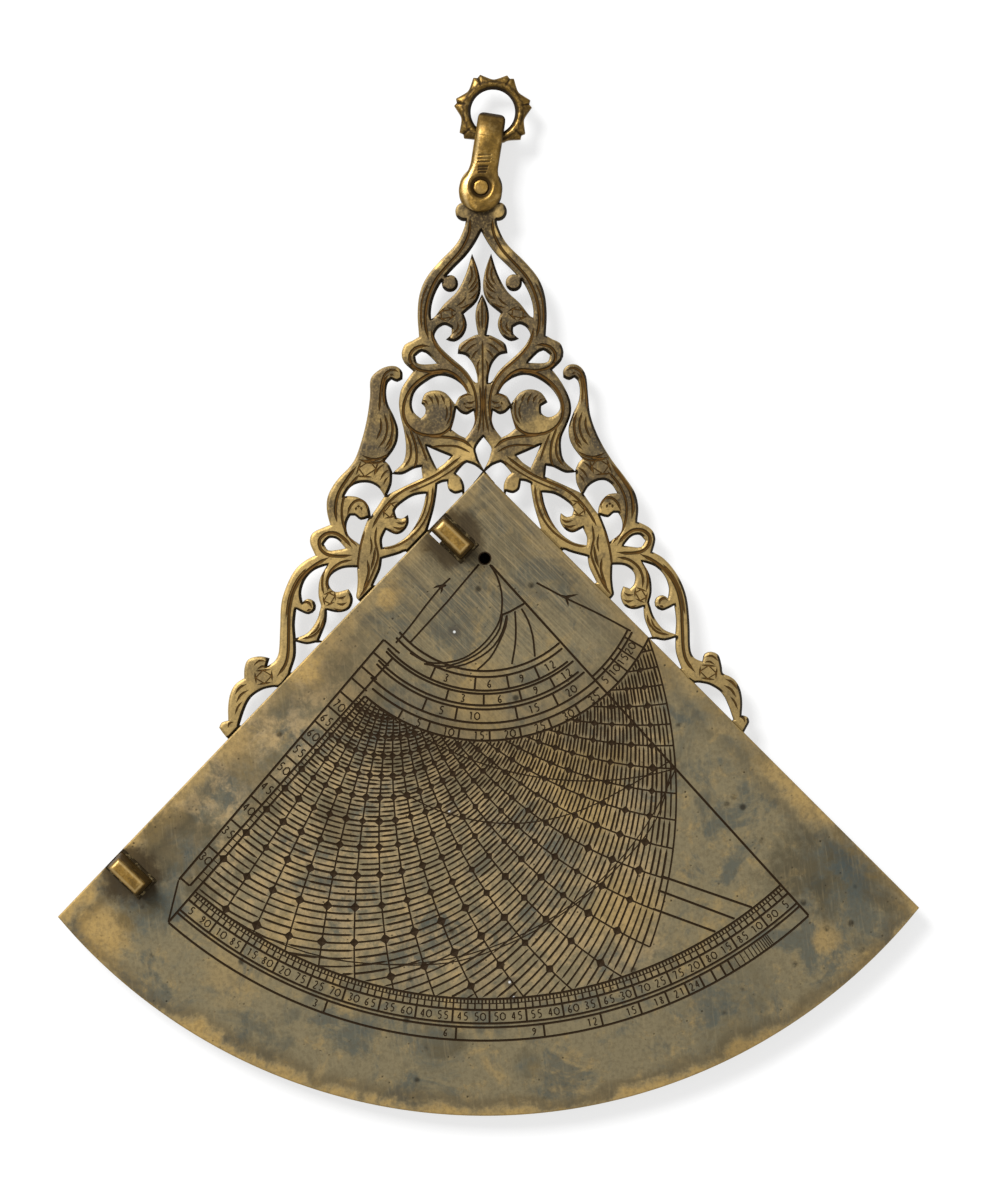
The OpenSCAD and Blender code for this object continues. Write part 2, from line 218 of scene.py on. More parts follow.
class EngravingSizes(bpy.types.PropertyGroup):
    latitude: bpy.props.FloatProperty(
        name="Latitude", description="Latitude for which the grid of altitudes is drawn",
        default=41.0, min=20.0, max=60.0)
    equator_r: bpy.props.FloatProperty(
        name="Equator radius", description="Radius of the equator on the plate, in millimetres",
        default=71.0, min=50.0, max=90.0)
    line_w: bpy.props.FloatProperty(
        name="Line width", description="Width of the main engraved lines, in millimetres",
        default=0.62, min=0.1, max=1.0)
    fine_w: bpy.props.FloatProperty(
        name="Fine line width", description="Width of the grid's fine strokes, in millimetres",
        default=0.54, min=0.1, max=0.8)
    cut_slope: bpy.props.FloatProperty(
        name="Cut slope", description="Depth of a cut for each unit of its half width",
        default=0.9, min=0.2, max=2.0)


class FinishColours(bpy.types.PropertyGroup):
    plate_olive: bpy.props.FloatVectorProperty(
        name="Plate", description="Grown patina of the plate", subtype="COLOR", size=3,
        default=(0.21, 0.173, 0.099))
    plate_gold: bpy.props.FloatVectorProperty(
        name="Bare brass", description="Brass where the patina is thin", subtype="COLOR", size=3,
        default=(0.45, 0.295, 0.10))
    plate_slate: bpy.props.FloatVectorProperty(
        name="Stains", description="Bluish dark stains", subtype="COLOR", size=3,
        default=(0.070, 0.080, 0.070))
    # This colour also paints the shade on the cord hole's wall and rim.
    dirt: bpy.props.FloatVectorProperty(
        name="Grooves", description="Old dirt in the grooves", subtype="COLOR", size=3,
        default=(0.02, 0.010, 0.003))
    throne_gold: bpy.props.FloatVectorProperty(
        name="Throne", description="Brass of the throne", subtype="COLOR", size=3,
        default=(0.34, 0.235, 0.088))
    polished: bpy.props.FloatVectorProperty(
        name="Handled brass", description="Ring and shackle, worn by hands", subtype="COLOR", size=3,
        default=(0.26, 0.152, 0.035))


# Drawing in the plane of the plate, in millimetres

def rounded_line(points, step=0.9):
    """Smooth line through given points."""
    given = [np.array(p, float) for p in points]
    count = len(given)
    if count < 3:
        return np.array(given)
    line = []
    for i in range(count - 1):
        p1 = given[i]
        p2 = given[i + 1]
        p0 = given[i - 1] if i > 0 else 2 * p1 - p2
        p3 = given[i + 2] if i + 2 < count else 2 * p2 - p1
        steps = max(1, int(round(np.linalg.norm(p2 - p1) / step)))
        for k in range(steps):
            u = k / steps
            line.append(0.5 * (2 * p1 + (p2 - p0) * u + (2 * p0 - 5 * p1 + 4 * p2 - p3) * u ** 2
                               + (3 * p1 - p0 - 3 * p2 + p3) * u ** 3))
    line.append(given[-1])
    return np.array(line)


def unit(rows):
    """Each row of an array at length one."""
    return rows / np.maximum(np.linalg.norm(rows, axis=1), 1e-9)[:, None]


def arc(radius, start, stop, step=2.5):
    """Arc about the cord hole. Angles are in degrees from straight down, towards +X."""
    steps = max(1, int(abs(stop - start) * math.pi / 180 * radius / step))
    turns = np.radians(np.linspace(start, stop, steps + 1))
    return np.column_stack((radius * np.sin(turns), -radius * np.cos(turns)))


def at_polar(radius, degrees):
    turn = math.radians(degrees)
    return np.array((radius * math.sin(turn), -radius * math.cos(turn)))


class Sheet:
    """Lines and cuts drawn on a flat face, which become one relief."""

    def __init__(self, slope):
        self.slope = slope
        self.points = []
        self.edges = []
        self.cuts = []

    def chain(self, line, closed=False):
        first = len(self.points)
        self.points.extend((float(p[0]), float(p[1])) for p in line)
        last = len(self.points) - 1
        self.edges.extend((i, i + 1) for i in range(first, last))
        if closed:
            self.edges.append((last, first))
        return first, last

    def cut(self, line, width, ends="blunt", slope=None):
        """A V-shaped cut along a line, which narrows at its ends as a graver leaves it."""
        for part in self.without_corners(np.asarray(line, float)):
            self.cut_smooth(part, width, ends, self.slope if slope is None else slope)

    @staticmethod
    def without_corners(line, corner=50.0):
        """Parts of a line between its sharp corners."""
        keep = np.ones(len(line), bool)
        keep[1:] = np.linalg.norm(np.diff(line, axis=0), axis=1) > 1e-3
        line = line[keep]
        parts = []
        start = 0
        for i in range(1, len(line) - 1):
            before = line[i] - line[i - 1]
            after = line[i + 1] - line[i]
            cosine = before @ after / (np.linalg.norm(before) * np.linalg.norm(after))
            if cosine < math.cos(math.radians(corner)):
                parts.append(line[start:i + 1])
                start = i
        parts.append(line[start:])
        return [part for part in parts if len(part) > 1]

    def cut_smooth(self, line, width, ends, steep):
        step = np.linalg.norm(np.diff(line, axis=0), axis=1)
        run = np.concatenate(([0.0], np.cumsum(step)))
        length = run[-1]
        blunt = min(0.3 * width, 0.3 * length)
        point = min(2.4 * width, 0.42 * length)
        tip0 = point if ends == "pointed" else blunt
        tip1 = blunt if ends == "blunt" else point
        along = np.unique(np.concatenate((run, [tip0, length - tip1])))
        gap = np.ones(len(along), bool)
        gap[1:] = np.diff(along) > 0.02
        along = along[gap]
        line = np.column_stack((np.interp(along, run, line[:, 0]), np.interp(along, run, line[:, 1])))
        half = width / 2 * np.minimum(1, np.minimum(along / tip0, (length - along) / tip1))
        half = np.maximum(half, 0)
        self.strip(line, half, steep)

    def strip(self, line, half, steep):
        """A cut with its own half width at each point."""
        run = unit(np.diff(line, axis=0))
        after = np.vstack((run, run[-1:]))
        along = unit(np.vstack((run[:1], run)) + after)
        # The borders keep their distance from both parts of the line at a bend.
        reach = half / np.maximum((along * after).sum(axis=1), 0.6)
        across = np.column_stack((-along[:, 1], along[:, 0])) * reach[:, None]
        self.chain(line)
        self.chain(line + across)
        self.chain(line - across)
        for a, b, ha, hb in zip(line[:-1], line[1:], half[:-1], half[1:]):
            self.cuts.append((a[0], a[1], b[0], b[1], ha, hb, steep))

    def pit(self, centre, length, width, turn, slope):
        """A diamond-shaped punch mark."""
        reach = np.array((math.cos(turn), math.sin(turn))) * length / 2
        middle = np.array(centre, float)
        line = np.array((middle - reach, middle, middle + reach))
        self.strip(line, np.array((0, width / 2, 0)), slope)


class Nearby:
    """Finds which short segments lie near a point, on a grid of square cells."""

    def __init__(self, segments, reach, cell=1.5):
        self.cell = cell
        self.found = {}
        for number, (ax, az, bx, bz) in enumerate(segments):
            low_x = math.floor((min(ax, bx) - reach) / cell)
            high_x = math.floor((max(ax, bx) + reach) / cell)
            low_z = math.floor((min(az, bz) - reach) / cell)
            high_z = math.floor((max(az, bz) + reach) / cell)
            for i in range(low_x, high_x + 1):
                for k in range(low_z, high_z + 1):
                    self.found.setdefault((i, k), []).append(number)

    def at(self, x, z):
        return self.found.get((math.floor(x / self.cell), math.floor(z / self.cell)), ())


def to_segment(x, z, ax, az, bx, bz):
    """Distance from a point to a segment, and how far along it the nearest place is."""
    dx = bx - ax
    dz = bz - az
    square = dx * dx + dz * dz
    share = 0.0 if square < 1e-12 else max(0.0, min(1.0, ((x - ax) * dx + (z - az) * dz) / square))
    return math.hypot(x - ax - share * dx, z - az - share * dz), share


def beside_segment(x, z, ax, az, bx, bz):
    """Distance from a segment and the share along it, or None past its ends."""
    dx = bx - ax
    dz = bz - az
    length = max(math.hypot(dx, dz), 1e-9)
    along = ((x - ax) * dx + (z - az) * dz) / length
    if -1e-4 < along < length + 1e-4:
        return abs((x - ax) * dz - (z - az) * dx) / length, along / length
    return None


def outline_loops(node, level):
    """Closed outlines of a CAD node's flat face at a depth, in millimetres, metal on the left."""
    mesh = frame["nodes"][node].data
    spot = {}
    places = []
    number = []
    for vertex in mesh.vertices:
        key = tuple(round(c / MM, 3) for c in vertex.co)
        if key not in spot:
            spot[key] = len(places)
            places.append(key)
        number.append(spot[key])
    onward = {}
    for face in mesh.polygons:
        ring = [number[v] for v in face.vertices]
        if all(abs(places[v][1] * MM - level) < 2e-5 for v in ring) and len(set(ring)) > 2:
            for a, b in zip(ring, ring[1:] + ring[:1]):
                if b in onward and a in onward[b]:
                    onward[b].remove(a)
                else:
                    onward.setdefault(a, []).append(b)
    loops = []
    while True:
        start = next((a for a, found in onward.items() if found), None)
        if start is None:
            return loops
        loop = [start]
        here = onward[start].pop()
        while here != start:
            loop.append(here)
            here = onward[here].pop()
        loops.append(np.array([(places[v][0], places[v][2]) for v in loop]))


def softened(loop, corner=38.0, step=0.7):
    """The same outline with more points where it is curved and its corners kept."""
    count = len(loop)
    ahead = np.roll(loop, -1, axis=0) - loop
    length = np.linalg.norm(ahead, axis=1)
    heading = unit(ahead)
    before = np.roll(heading, 1, axis=0)
    bend = np.degrees(np.arccos(np.clip((heading * before).sum(axis=1), -1, 1)))
    through = unit(heading + before)
    line = []
    for i in range(count):
        k = (i + 1) % count
        start = heading[i] if bend[i] > corner else through[i]
        stop = heading[i] if bend[k] > corner else through[k]
        steps = 1 if bend[i] < 1 and bend[k] < 1 else max(1, min(8, int(round(length[i] / step))))
        for part in range(steps):
            u = part / steps
            line.append((2 * u ** 3 - 3 * u ** 2 + 1) * loop[i]
                        + (u ** 3 - 2 * u ** 2 + u) * start * length[i]
                        + (3 * u ** 2 - 2 * u ** 3) * loop[k] + (u ** 3 - u ** 2) * stop * length[i])
    return np.array(line)


def drawn_in(loop, distance):
    """The outline moved inwards, towards the metal on its left."""
    both = unit(loop - np.roll(loop, 1, axis=0)) + unit(np.roll(loop, -1, axis=0) - loop)
    inward = np.column_stack((-both[:, 1], both[:, 0]))
    size = np.linalg.norm(inward, axis=1)
    inward /= np.maximum(size, 1e-6)[:, None]
    # A mitre keeps the distance at corners, and is held short where the corner is narrow.
    mitre = 1.0 / np.maximum(size / 2, 0.5)
    return loop + inward * (distance * mitre)[:, None]


def inside(points, loops):
    """Which points lie in the metal, by the even-odd rule."""
    result = np.zeros(len(points), bool)
    batch = 4000
    start = np.concatenate(loops)
    stop = np.concatenate([np.roll(loop, -1, axis=0) for loop in loops])
    for first in range(0, len(points), batch):
        px = points[first:first + batch, 0][:, None]
        pz = points[first:first + batch, 1][:, None]
        spans = (start[:, 1] > pz) != (stop[:, 1] > pz)
        rise = np.where(stop[:, 1] == start[:, 1], 1e-12, stop[:, 1] - start[:, 1])
        cross = px < (stop[:, 0] - start[:, 0]) * (pz - start[:, 1]) / rise + start[:, 0]
        result[first:first + batch] = (spans & cross).sum(axis=1) % 2 == 1
    return result


def triangulated(points, edges, loops, near, numbered=False):
    """Triangles in the metal whose sides hold all the given edges, all turned one way.

    Points nearer than a distance become one. If asked, each comes with its number among those given.
    """
    made = delaunay_2d_cdt([Vector(p) for p in points], edges, [], 0, near, numbered)
    places = np.array([(v.x, v.y) for v in made[0]])
    triangles = np.array([face[:] for face in made[2]], int)
    triangles = triangles[inside(places[triangles].mean(axis=1), loops)]
    a, b, c = (places[triangles[:, i]] for i in range(3))
    area = (b[:, 0] - a[:, 0]) * (c[:, 1] - a[:, 1]) - (b[:, 1] - a[:, 1]) * (c[:, 0] - a[:, 0])
    triangles[area < 0] = triangles[area < 0][:, ::-1]
    return places, triangles, [found[0] if found else -1 for found in made[3]] if numbered else None


def wear_and_cuts(places, sheet, loops, edge_round, edge_drop, rim_reach, lee):
    """For each place: how deep it lies, how much it is a groove, near the rim and on a slanting edge."""
    edge_from = np.concatenate(loops)
    edge_to = np.concatenate([np.roll(loop, -1, axis=0) for loop in loops])
    edge_parts = np.column_stack((edge_from, edge_to)).tolist()
    near_edge = Nearby(edge_parts, rim_reach)
    cut_parts = [c[:4] for c in sheet.cuts]
    near_cut = Nearby(cut_parts, max([max(c[4], c[5]) for c in sheet.cuts] + [0.1]))
    depth = np.zeros(len(places))
    groove = np.zeros(len(places))
    rim = np.zeros(len(places))
    shade = np.zeros(len(places))
    for i, (x, z) in enumerate(places.tolist()):
        away = rim_reach
        for number in near_edge.at(x, z):
            part = edge_parts[number]
            gap = to_segment(x, z, *part)[0]
            away = min(away, gap)
            if gap < 1.2 * lee:
                run_x, run_z = part[2] - part[0], part[3] - part[1]
                facing = (0.6 * run_z + 0.8 * run_x) / max(1e-9, math.hypot(run_x, run_z))
                close = min(1.0, max(0.0, 1.2 - gap / lee) * 5)
                shade[i] = max(shade[i], min(1.0, 2.2 * facing) * close)
        rim[i] = 1 - away / rim_reach
        worn = 0.0
        if away < edge_round:
            worn = edge_drop * (1 - math.sqrt(max(0.0, 1 - (1 - away / edge_round) ** 2)))
        if shade[i] > 0:
            worn = max(worn, 1.1 * shade[i] * max(0.0, 1 - away / lee))
        deepest = 0.0
        dirty = 0.0
        for number in near_cut.at(x, z):
            ax, az, bx, bz, ha, hb, steep = sheet.cuts[number]
            found = beside_segment(x, z, ax, az, bx, bz)
            if found is None:
                continue
            gap, share = found
            half = ha + (hb - ha) * share
            if half > gap + 1e-3:
                deepest = max(deepest, steep * (half - gap))
                dirty = max(dirty, min(1.0, 3.3 * (1 - gap / half)))
        depth[i] = worn + deepest
        groove[i] = dirty
    return depth, groove, rim, shade


def border_of(triangles):
    """The sides that only one triangle has, in that triangle's turn."""
    sides = set()
    for a, b, c in triangles.tolist():
        sides.update(((a, b), (b, c), (c, a)))
    return sorted((a, b) for a, b in sides if (b, a) not in sides)


def relief_piece(name, sheet, loops, front, back, edge_round, edge_drop, rim_reach, lee=0.0,
                 back_chamfer=0.2):
    """A solid plate whose front carries the sheet's cuts and has its edges worn round.

    The saw was held aslant, so the edges on the lower right fall away over the width lee.
    """
    rims = {0.0, 0.12 * edge_round, 0.45 * edge_round, edge_round, rim_reach}
    if lee:
        rims |= {lee, 1.2 * lee}
    for distance in sorted(rims):
        for loop in loops:
            sheet.chain(loop if distance == 0 else drawn_in(loop, distance), closed=True)
    places, triangles, _ = triangulated(sheet.points, sheet.edges, loops, 1e-4)
    used, compact = np.unique(triangles, return_inverse=True)
    triangles = compact.reshape(-1, 3)
    places = places[used]
    depth, groove, rim, shade = wear_and_cuts(places, sheet, loops, edge_round, edge_drop, rim_reach, lee)

    border = border_of(triangles)
    rim_vertices = sorted({a for a, b in border} | {b for a, b in border})
    slot = {v: i for i, v in enumerate(rim_vertices)}
    ends = np.array([(slot[a], slot[b]) for a, b in border])
    wall = places[rim_vertices]
    run = unit(wall[ends[:, 1]] - wall[ends[:, 0]])
    outward = np.zeros_like(wall)
    for end in (0, 1):
        np.add.at(outward, ends[:, end], np.column_stack((run[:, 1], -run[:, 0])))
    pulled = wall - unit(outward) * back_chamfer

    # The flat back stands on the same border points as the front.
    _, under, came_from = triangulated(wall, [tuple(e) for e in ends.tolist()], loops, 1e-5, True)
    under = [tuple(came_from[v] for v in face) for face in under.tolist()]
    count = len(places)
    total = len(rim_vertices)
    verts = [np.column_stack((flat[:, 0] * MM, np.broadcast_to(level, len(flat)), flat[:, 1] * MM))
             for flat, level in ((places, front + depth * MM), (wall, back - back_chamfer * MM),
                                 (pulled, back))]
    faces = triangles.tolist()
    for (a, b), (i, k) in zip(border, ends.tolist()):
        faces.append((b, a, count + i, count + k))
        faces.append((count + k, count + i, count + total + i, count + total + k))
    faces += [(count + total + c, count + total + b, count + total + a) for a, b, c in under]
    mesh = bpy.data.meshes.new(name)
    mesh.from_pydata(np.concatenate(verts).tolist(), [], faces)
    mesh.update()
    # The "lee" number marks the slanting lower-right edges, which the throne's material paints as shade.
    for key, on_front, on_wall in (("cut", groove, 0.0), ("rim", rim, 1.0), ("lee", shade, 1.0)):
        add_number(mesh, key, np.concatenate((on_front, np.full(2 * total, on_wall))))
    return linked(name, mesh)


def linked(name, data):
    """A new object in the scene that holds a mesh, a lamp or a camera."""
    piece = bpy.data.objects.new(name, data)
    bpy.context.scene.collection.objects.link(piece)
    return piece


# The engraved scales of the plate

frame_angle = 41.6
hour_share = 2 * frame_angle / 90
inner_tropic_r = 45.6
outer_tropic_r = 110.2
band_radii = (28.2, 29.7, 33.1, 33.9, 36.8, 37.8, 41.2, 43.0, 45.6)
scale_radii = (110.2, 111.35, 112.95, 116.3, 117.3, 120.6)

# Strokes of the digits, on a cell one unit wide and two high.
DIGITS = {
    "0": [[(0.5, 2), (-0.1, 1.45), (-0.1, 0.55), (0.5, 0), (1.1, 0.55), (1.1, 1.45), (0.5, 2)]],
    "1": [[(0.25, 1.6), (0.6, 2), (0.6, 0)]],
    "2": [[(0.1, 1.6), (0.5, 2), (0.9, 1.6), (0.7, 1), (0.1, 0), (0.95, 0)]],
    "3": [[(0.1, 1.8), (0.6, 2), (0.9, 1.5), (0.4, 1.05), (0.95, 0.5), (0.5, 0), (0.05, 0.3)]],
    "4": [[(0.7, 0), (0.7, 2), (0.05, 0.6), (0.98, 0.6)]],
    "5": [[(0.9, 2), (0.2, 2), (0.15, 1.15), (0.7, 1.2), (0.95, 0.6), (0.6, 0), (0.1, 0.2)]],
    "6": [[(0.8, 2), (0.2, 1.2), (0.1, 0.5), (0.5, 0), (0.9, 0.5), (0.55, 1), (0.15, 0.7)]],
    "7": [[(0.05, 2), (0.95, 2), (0.4, 0)]],
    "8": [[(0.5, 1.05), (0.15, 1.5), (0.5, 2), (0.85, 1.5), (0.5, 1.05), (0.1, 0.5), (0.5, 0),
           (0.9, 0.5), (0.5, 1.05)]],
    "9": [[(0.2, 0), (0.8, 0.8), (0.9, 1.5), (0.5, 2), (0.1, 1.5), (0.45, 1), (0.85, 1.3)]],
}


def cross_cut(sheet, low, high, turn, width):
    """A straight cut from one radius to another, away from the cord hole."""
    sheet.cut([at_polar(low, turn), at_polar(high, turn)], width)


def engrave_number(sheet, number, centre, height, turn, width):
    """Digits about a centre, their feet turned by an angle in degrees."""
    text = str(number)
    size = height / 2
    advance = 1.6 * size
    c = math.cos(math.radians(turn))
    s = math.sin(math.radians(turn))
    left = -(len(text) - 1) * advance / 2 - size / 2
    for place, digit in enumerate(text):
        for stroke in DIGITS[digit]:
            flat = [(left + place * advance + x * size, z * size - size) for x, z in stroke]
            line = [(centre[0] + x * c - z * s, centre[1] + x * s + z * c) for x, z in flat]
            sheet.cut(line, width)


def sky_point(height, azimuth, sizes):
    """Where a point of the sky falls: its radius about the pole and its hour angle in degrees."""
    lat = math.radians(sizes.latitude)
    h = math.radians(height)
    a = math.radians(azimuth)
    declination = math.asin(math.sin(lat) * math.sin(h) - math.cos(lat) * math.cos(h) * math.cos(a))
    hour = math.atan2(math.cos(h) * math.sin(a),
                      math.cos(lat) * math.sin(h) + math.sin(lat) * math.cos(h) * math.cos(a))
    return sizes.equator_r * math.tan(math.pi / 4 - declination / 2), math.degrees(hour)


def on_plate(radius, hour):
    return at_polar(radius, hour * hour_share - frame_angle)


def in_grid(radius, low=inner_tropic_r, high=outer_tropic_r):
    return low <= radius <= high


def clipped(samples, low=inner_tropic_r, high=outer_tropic_r):
    """Runs of a line of sky points that lie between the two tropics, cut at them."""
    runs = []
    run = []
    for (r0, h0), (r1, h1) in zip(samples[:-1], samples[1:]):
        in0 = in_grid(r0, low, high)
        in1 = in_grid(r1, low, high)
        if in0 != in1:
            limit = low if min(r0, r1) < low else high
            share = (limit - r0) / (r1 - r0)
            crossing = (limit, h0 + (h1 - h0) * share)
        if in0 and not run:
            run = [(r0, h0)]
        if in0 and in1:
            run.append((r1, h1))
        elif in0:
            run.append(crossing)
            runs.append(run)
            run = []
        elif in1:
            run = [crossing, (r1, h1)]
    if len(run) > 1:
        runs.append(run)
    return runs


def path_length(line):
    return np.linalg.norm(np.diff(line, axis=0), axis=1).sum()


def engrave_sky_grid(sheet, sizes):
    """Altitude strokes for each degree between azimuth lines for each five degrees."""
    hand = random.Random(12)
    step = 5
    top = 73
    last_azimuth = 130
    shortest_stroke = 0.42
    for azimuth in range(step, last_azimuth, step):
        samples = [sky_point(h, azimuth, sizes) for h in np.arange(0.0, top + 1, 1.5)]
        for run in clipped(samples):
            sheet.cut([on_plate(r, hour) for r, hour in run], 0.45)
    for height in range(1, top):
        for azimuth in range(0, last_azimuth, step):
            samples = [sky_point(height, azimuth + step * t / 4, sizes) for t in range(5)]
            for run in clipped(samples, inner_tropic_r + 0.2, outer_tropic_r - 0.2):
                line = np.array([on_plate(r, hour) for r, hour in run])
                if path_length(line) > shortest_stroke:
                    drift = np.array((hand.uniform(-0.1, 0.1), hand.uniform(-0.1, 0.1)))
                    line = line if hand.random() < 0.5 else line[::-1]
                    sheet.cut(line + drift, sizes.fine_w * hand.uniform(0.85, 1.2), "tail")
    for height in range(5, top, step):
        for azimuth in range(0, last_azimuth, step):
            radius, hour = sky_point(height, azimuth, sizes)
            if in_grid(radius, inner_tropic_r + 1, outer_tropic_r - 1):
                here = on_plate(radius, hour)
                ahead = on_plate(*sky_point(height, azimuth + 1, sizes))
                turn = math.atan2(ahead[1] - here[1], ahead[0] - here[0])
                size = 1.35 + 0.75 * (radius - inner_tropic_r) / (outer_tropic_r - inner_tropic_r)
                size *= hand.uniform(0.9, 1.12)
                sheet.pit(here, size * 1.4, size * 1.35, turn, 0.35)
    horizon = [sky_point(0, a, sizes) for a in np.arange(60, 170, 2.0)]
    for run in clipped(horizon):
        sheet.cut([on_plate(r, hour) for r, hour in run], 0.5)


def engrave_ecliptic(sheet, sizes):
    """The two halves of the sun's path, folded into the quadrant, and two curves of prayer time."""
    tilt = math.atan((outer_tropic_r / inner_tropic_r) ** 0.5) * 2 - math.pi / 2
    centre = sizes.equator_r * math.tan(tilt)
    radius = sizes.equator_r / math.cos(tilt)
    for side in (1, -1):
        line = []
        for hour in np.arange(0, 90.1, 3):
            turn = math.radians(hour)
            across = side * centre * math.cos(turn)
            line.append(on_plate(across + math.sqrt(radius ** 2 - (centre * math.sin(turn)) ** 2), hour))
        sheet.cut(line, 0.36)
    for points in (
        [(-22, -58), (-12, -63), (0, -66), (12, -66), (24, -63), (36, -57), (46, -51)],
        [(-50, -98), (-30, -101), (-10, -101), (6, -96), (20, -88), (32, -78), (42, -66), (46.5, -52)],
    ):
        sheet.cut(rounded_line(points, 3.0), 0.36)


def engrave_frame(sheet, sizes):
    """Arcs, bands, ticks and numbers round the grid."""
    wide = sizes.line_w
    left = -frame_angle
    right = frame_angle
    for i, radius in enumerate(scale_radii):
        start = left if i > 1 else left + 0.2
        sheet.cut(arc(radius, start, right), wide if i != 1 else 0.3)
    ticks = 180
    for tick in range(1, ticks):
        turn = left + tick * (right - left) / ticks
        reach = 1 if tick % 2 else 2
        cross_cut(sheet, scale_radii[0] + 0.1, scale_radii[reach], turn, 0.46)
    fives = 18
    for five in range(1, fives):
        turn = left + five * (right - left) / fives
        cross_cut(sheet, scale_radii[2], scale_radii[3], turn, wide * 0.9)
    middle = (scale_radii[2] + scale_radii[3]) / 2
    for five in range(fives):
        turn = left + (five + 0.5) * (right - left) / fives
        for shift, number in ((-1.05, 5 * (five + 1)), (1.1, 90 - 5 * five)):
            engrave_number(sheet, number, at_polar(middle, turn + shift), 2.0, turn + shift, 0.34)
    # The shadow scale, for a rod of seven parts. Its cells grow too narrow for numbers, then for lines.
    shadow_base = 7
    shadow_step = 3
    first_bare = 9
    first_fine = 12
    middle = (scale_radii[4] + scale_radii[5]) / 2
    for step in range(1, 2 * first_fine):
        hour = math.degrees(math.atan(shadow_step * step / shadow_base))
        turn = left + hour * hour_share
        if step < first_fine:
            cross_cut(sheet, scale_radii[4], scale_radii[5], turn, wide * 0.9)
        else:
            cross_cut(sheet, scale_radii[4] + 0.3, scale_radii[5] - 0.3, turn, 0.3)
        if step < first_bare:
            engrave_number(sheet, shadow_step * step, at_polar(middle, turn - 1.35 + 0.04 * step), 1.9,
                           turn - 1.3, 0.34)
    cross_cut(sheet, inner_tropic_r, scale_radii[5], left, wide)
    cross_cut(sheet, 2.2, scale_radii[5], right, wide)


def engrave_bands(sheet, sizes):
    """The sign bands near the hole, which end in steps at their right end."""
    wide = sizes.line_w
    left = -frame_angle
    starts = (-50, -49, -48, -47.5, -47, -46.5, -44.5, left, left)
    stops = (41.0, 40.4, 38.5, 40.4, 39.2, 40.8, 63.0, 41.0, 64.0)
    for radius, start, stop in zip(band_radii, starts, stops):
        sheet.cut(arc(radius, start, stop, 1.6), wide)
    cells = (
        (1, 2, (-25, -5, 10, 24), (3, 6, 9, 12)),
        (3, 4, (-16, -1, 14, 28), (3, 6, 9, 12)),
        (5, 6, (-23, -11, 11, 26), (5, 10, 15, 20)),
        (7, 8, (-29, -19, -9, 1, 11, 21, 31), (5, 10, 15, 20, 25, 30, 35)),
    )
    for low, high, turns, numbers in cells:
        middle = (band_radii[low] + band_radii[high]) / 2
        for turn, number in zip(turns, numbers):
            cross_cut(sheet, band_radii[low], band_radii[high], turn, wide * 0.9)
            engrave_number(sheet, number, at_polar(middle, turn + 6.5), 2.0, turn + 6.5, 0.36)
    # Cells that run on to the right, up to the end of the horizon.
    run_on_r = 40.0
    sheet.cut(arc(run_on_r, frame_angle, 63.2, 1.6), wide)
    for i, turn in enumerate((46.5, 51, 55.5, 60)):
        cross_cut(sheet, run_on_r, band_radii[8], turn, wide * 0.8)
        engrave_number(sheet, 5 * (i + 1), at_polar(42.8, turn - 2.4), 2.0, turn - 2.4, 0.34)


def beside_meridian(radius, offset):
    """A place at a distance from the meridian line, away from the grid."""
    turn = math.radians(frame_angle)
    slant = np.array((-math.cos(turn), math.sin(turn)))
    return at_polar(radius, -frame_angle) + slant * offset


def column_borders(radius):
    """How far the column's inner and outer border lie from the meridian line at a radius."""
    return 1.0 + 0.9 * (radius - 34) / 76, 5.7 - 0.7 * (int(radius) - 31.8) / 79


def engrave_left_column(sheet, sizes):
    """The column of altitudes beside the meridian, with a tick for each degree."""
    wide = sizes.line_w
    sheet.cut([beside_meridian(31.8, 5.7), beside_meridian(110.9, 5.0)], wide)
    sheet.cut([beside_meridian(110.9, 5.0), at_polar(scale_radii[5], -frame_angle)], wide * 0.8)
    sheet.cut([beside_meridian(34.0, 1.0), beside_meridian(outer_tropic_r, 1.9)], wide)
    lowest = 25
    for height in range(lowest, 75, 5):
        radius = outer_tropic_r if height == lowest else sky_point(height, 0, sizes)[0]
        inner, outer = column_borders(radius)
        sheet.cut([beside_meridian(radius, inner), beside_meridian(radius, outer)], wide * 0.9)
        if height > lowest:
            centre = beside_meridian(radius + 2.9, (inner + outer) / 2)
            engrave_number(sheet, height, centre, 2.2, -frame_angle, 0.36)
    for radius in (31.9, 36.0, 40.6, 44.4):
        sheet.cut([beside_meridian(radius, 0.4), beside_meridian(radius, 5.6)], wide * 0.9)
    for height in range(lowest + 1, 73):
        radius = sky_point(height, 0, sizes)[0]
        if inner_tropic_r < radius < outer_tropic_r:
            inner, outer = column_borders(radius)
            sheet.cut([beside_meridian(radius, 0.1), beside_meridian(radius, inner)], 0.3)


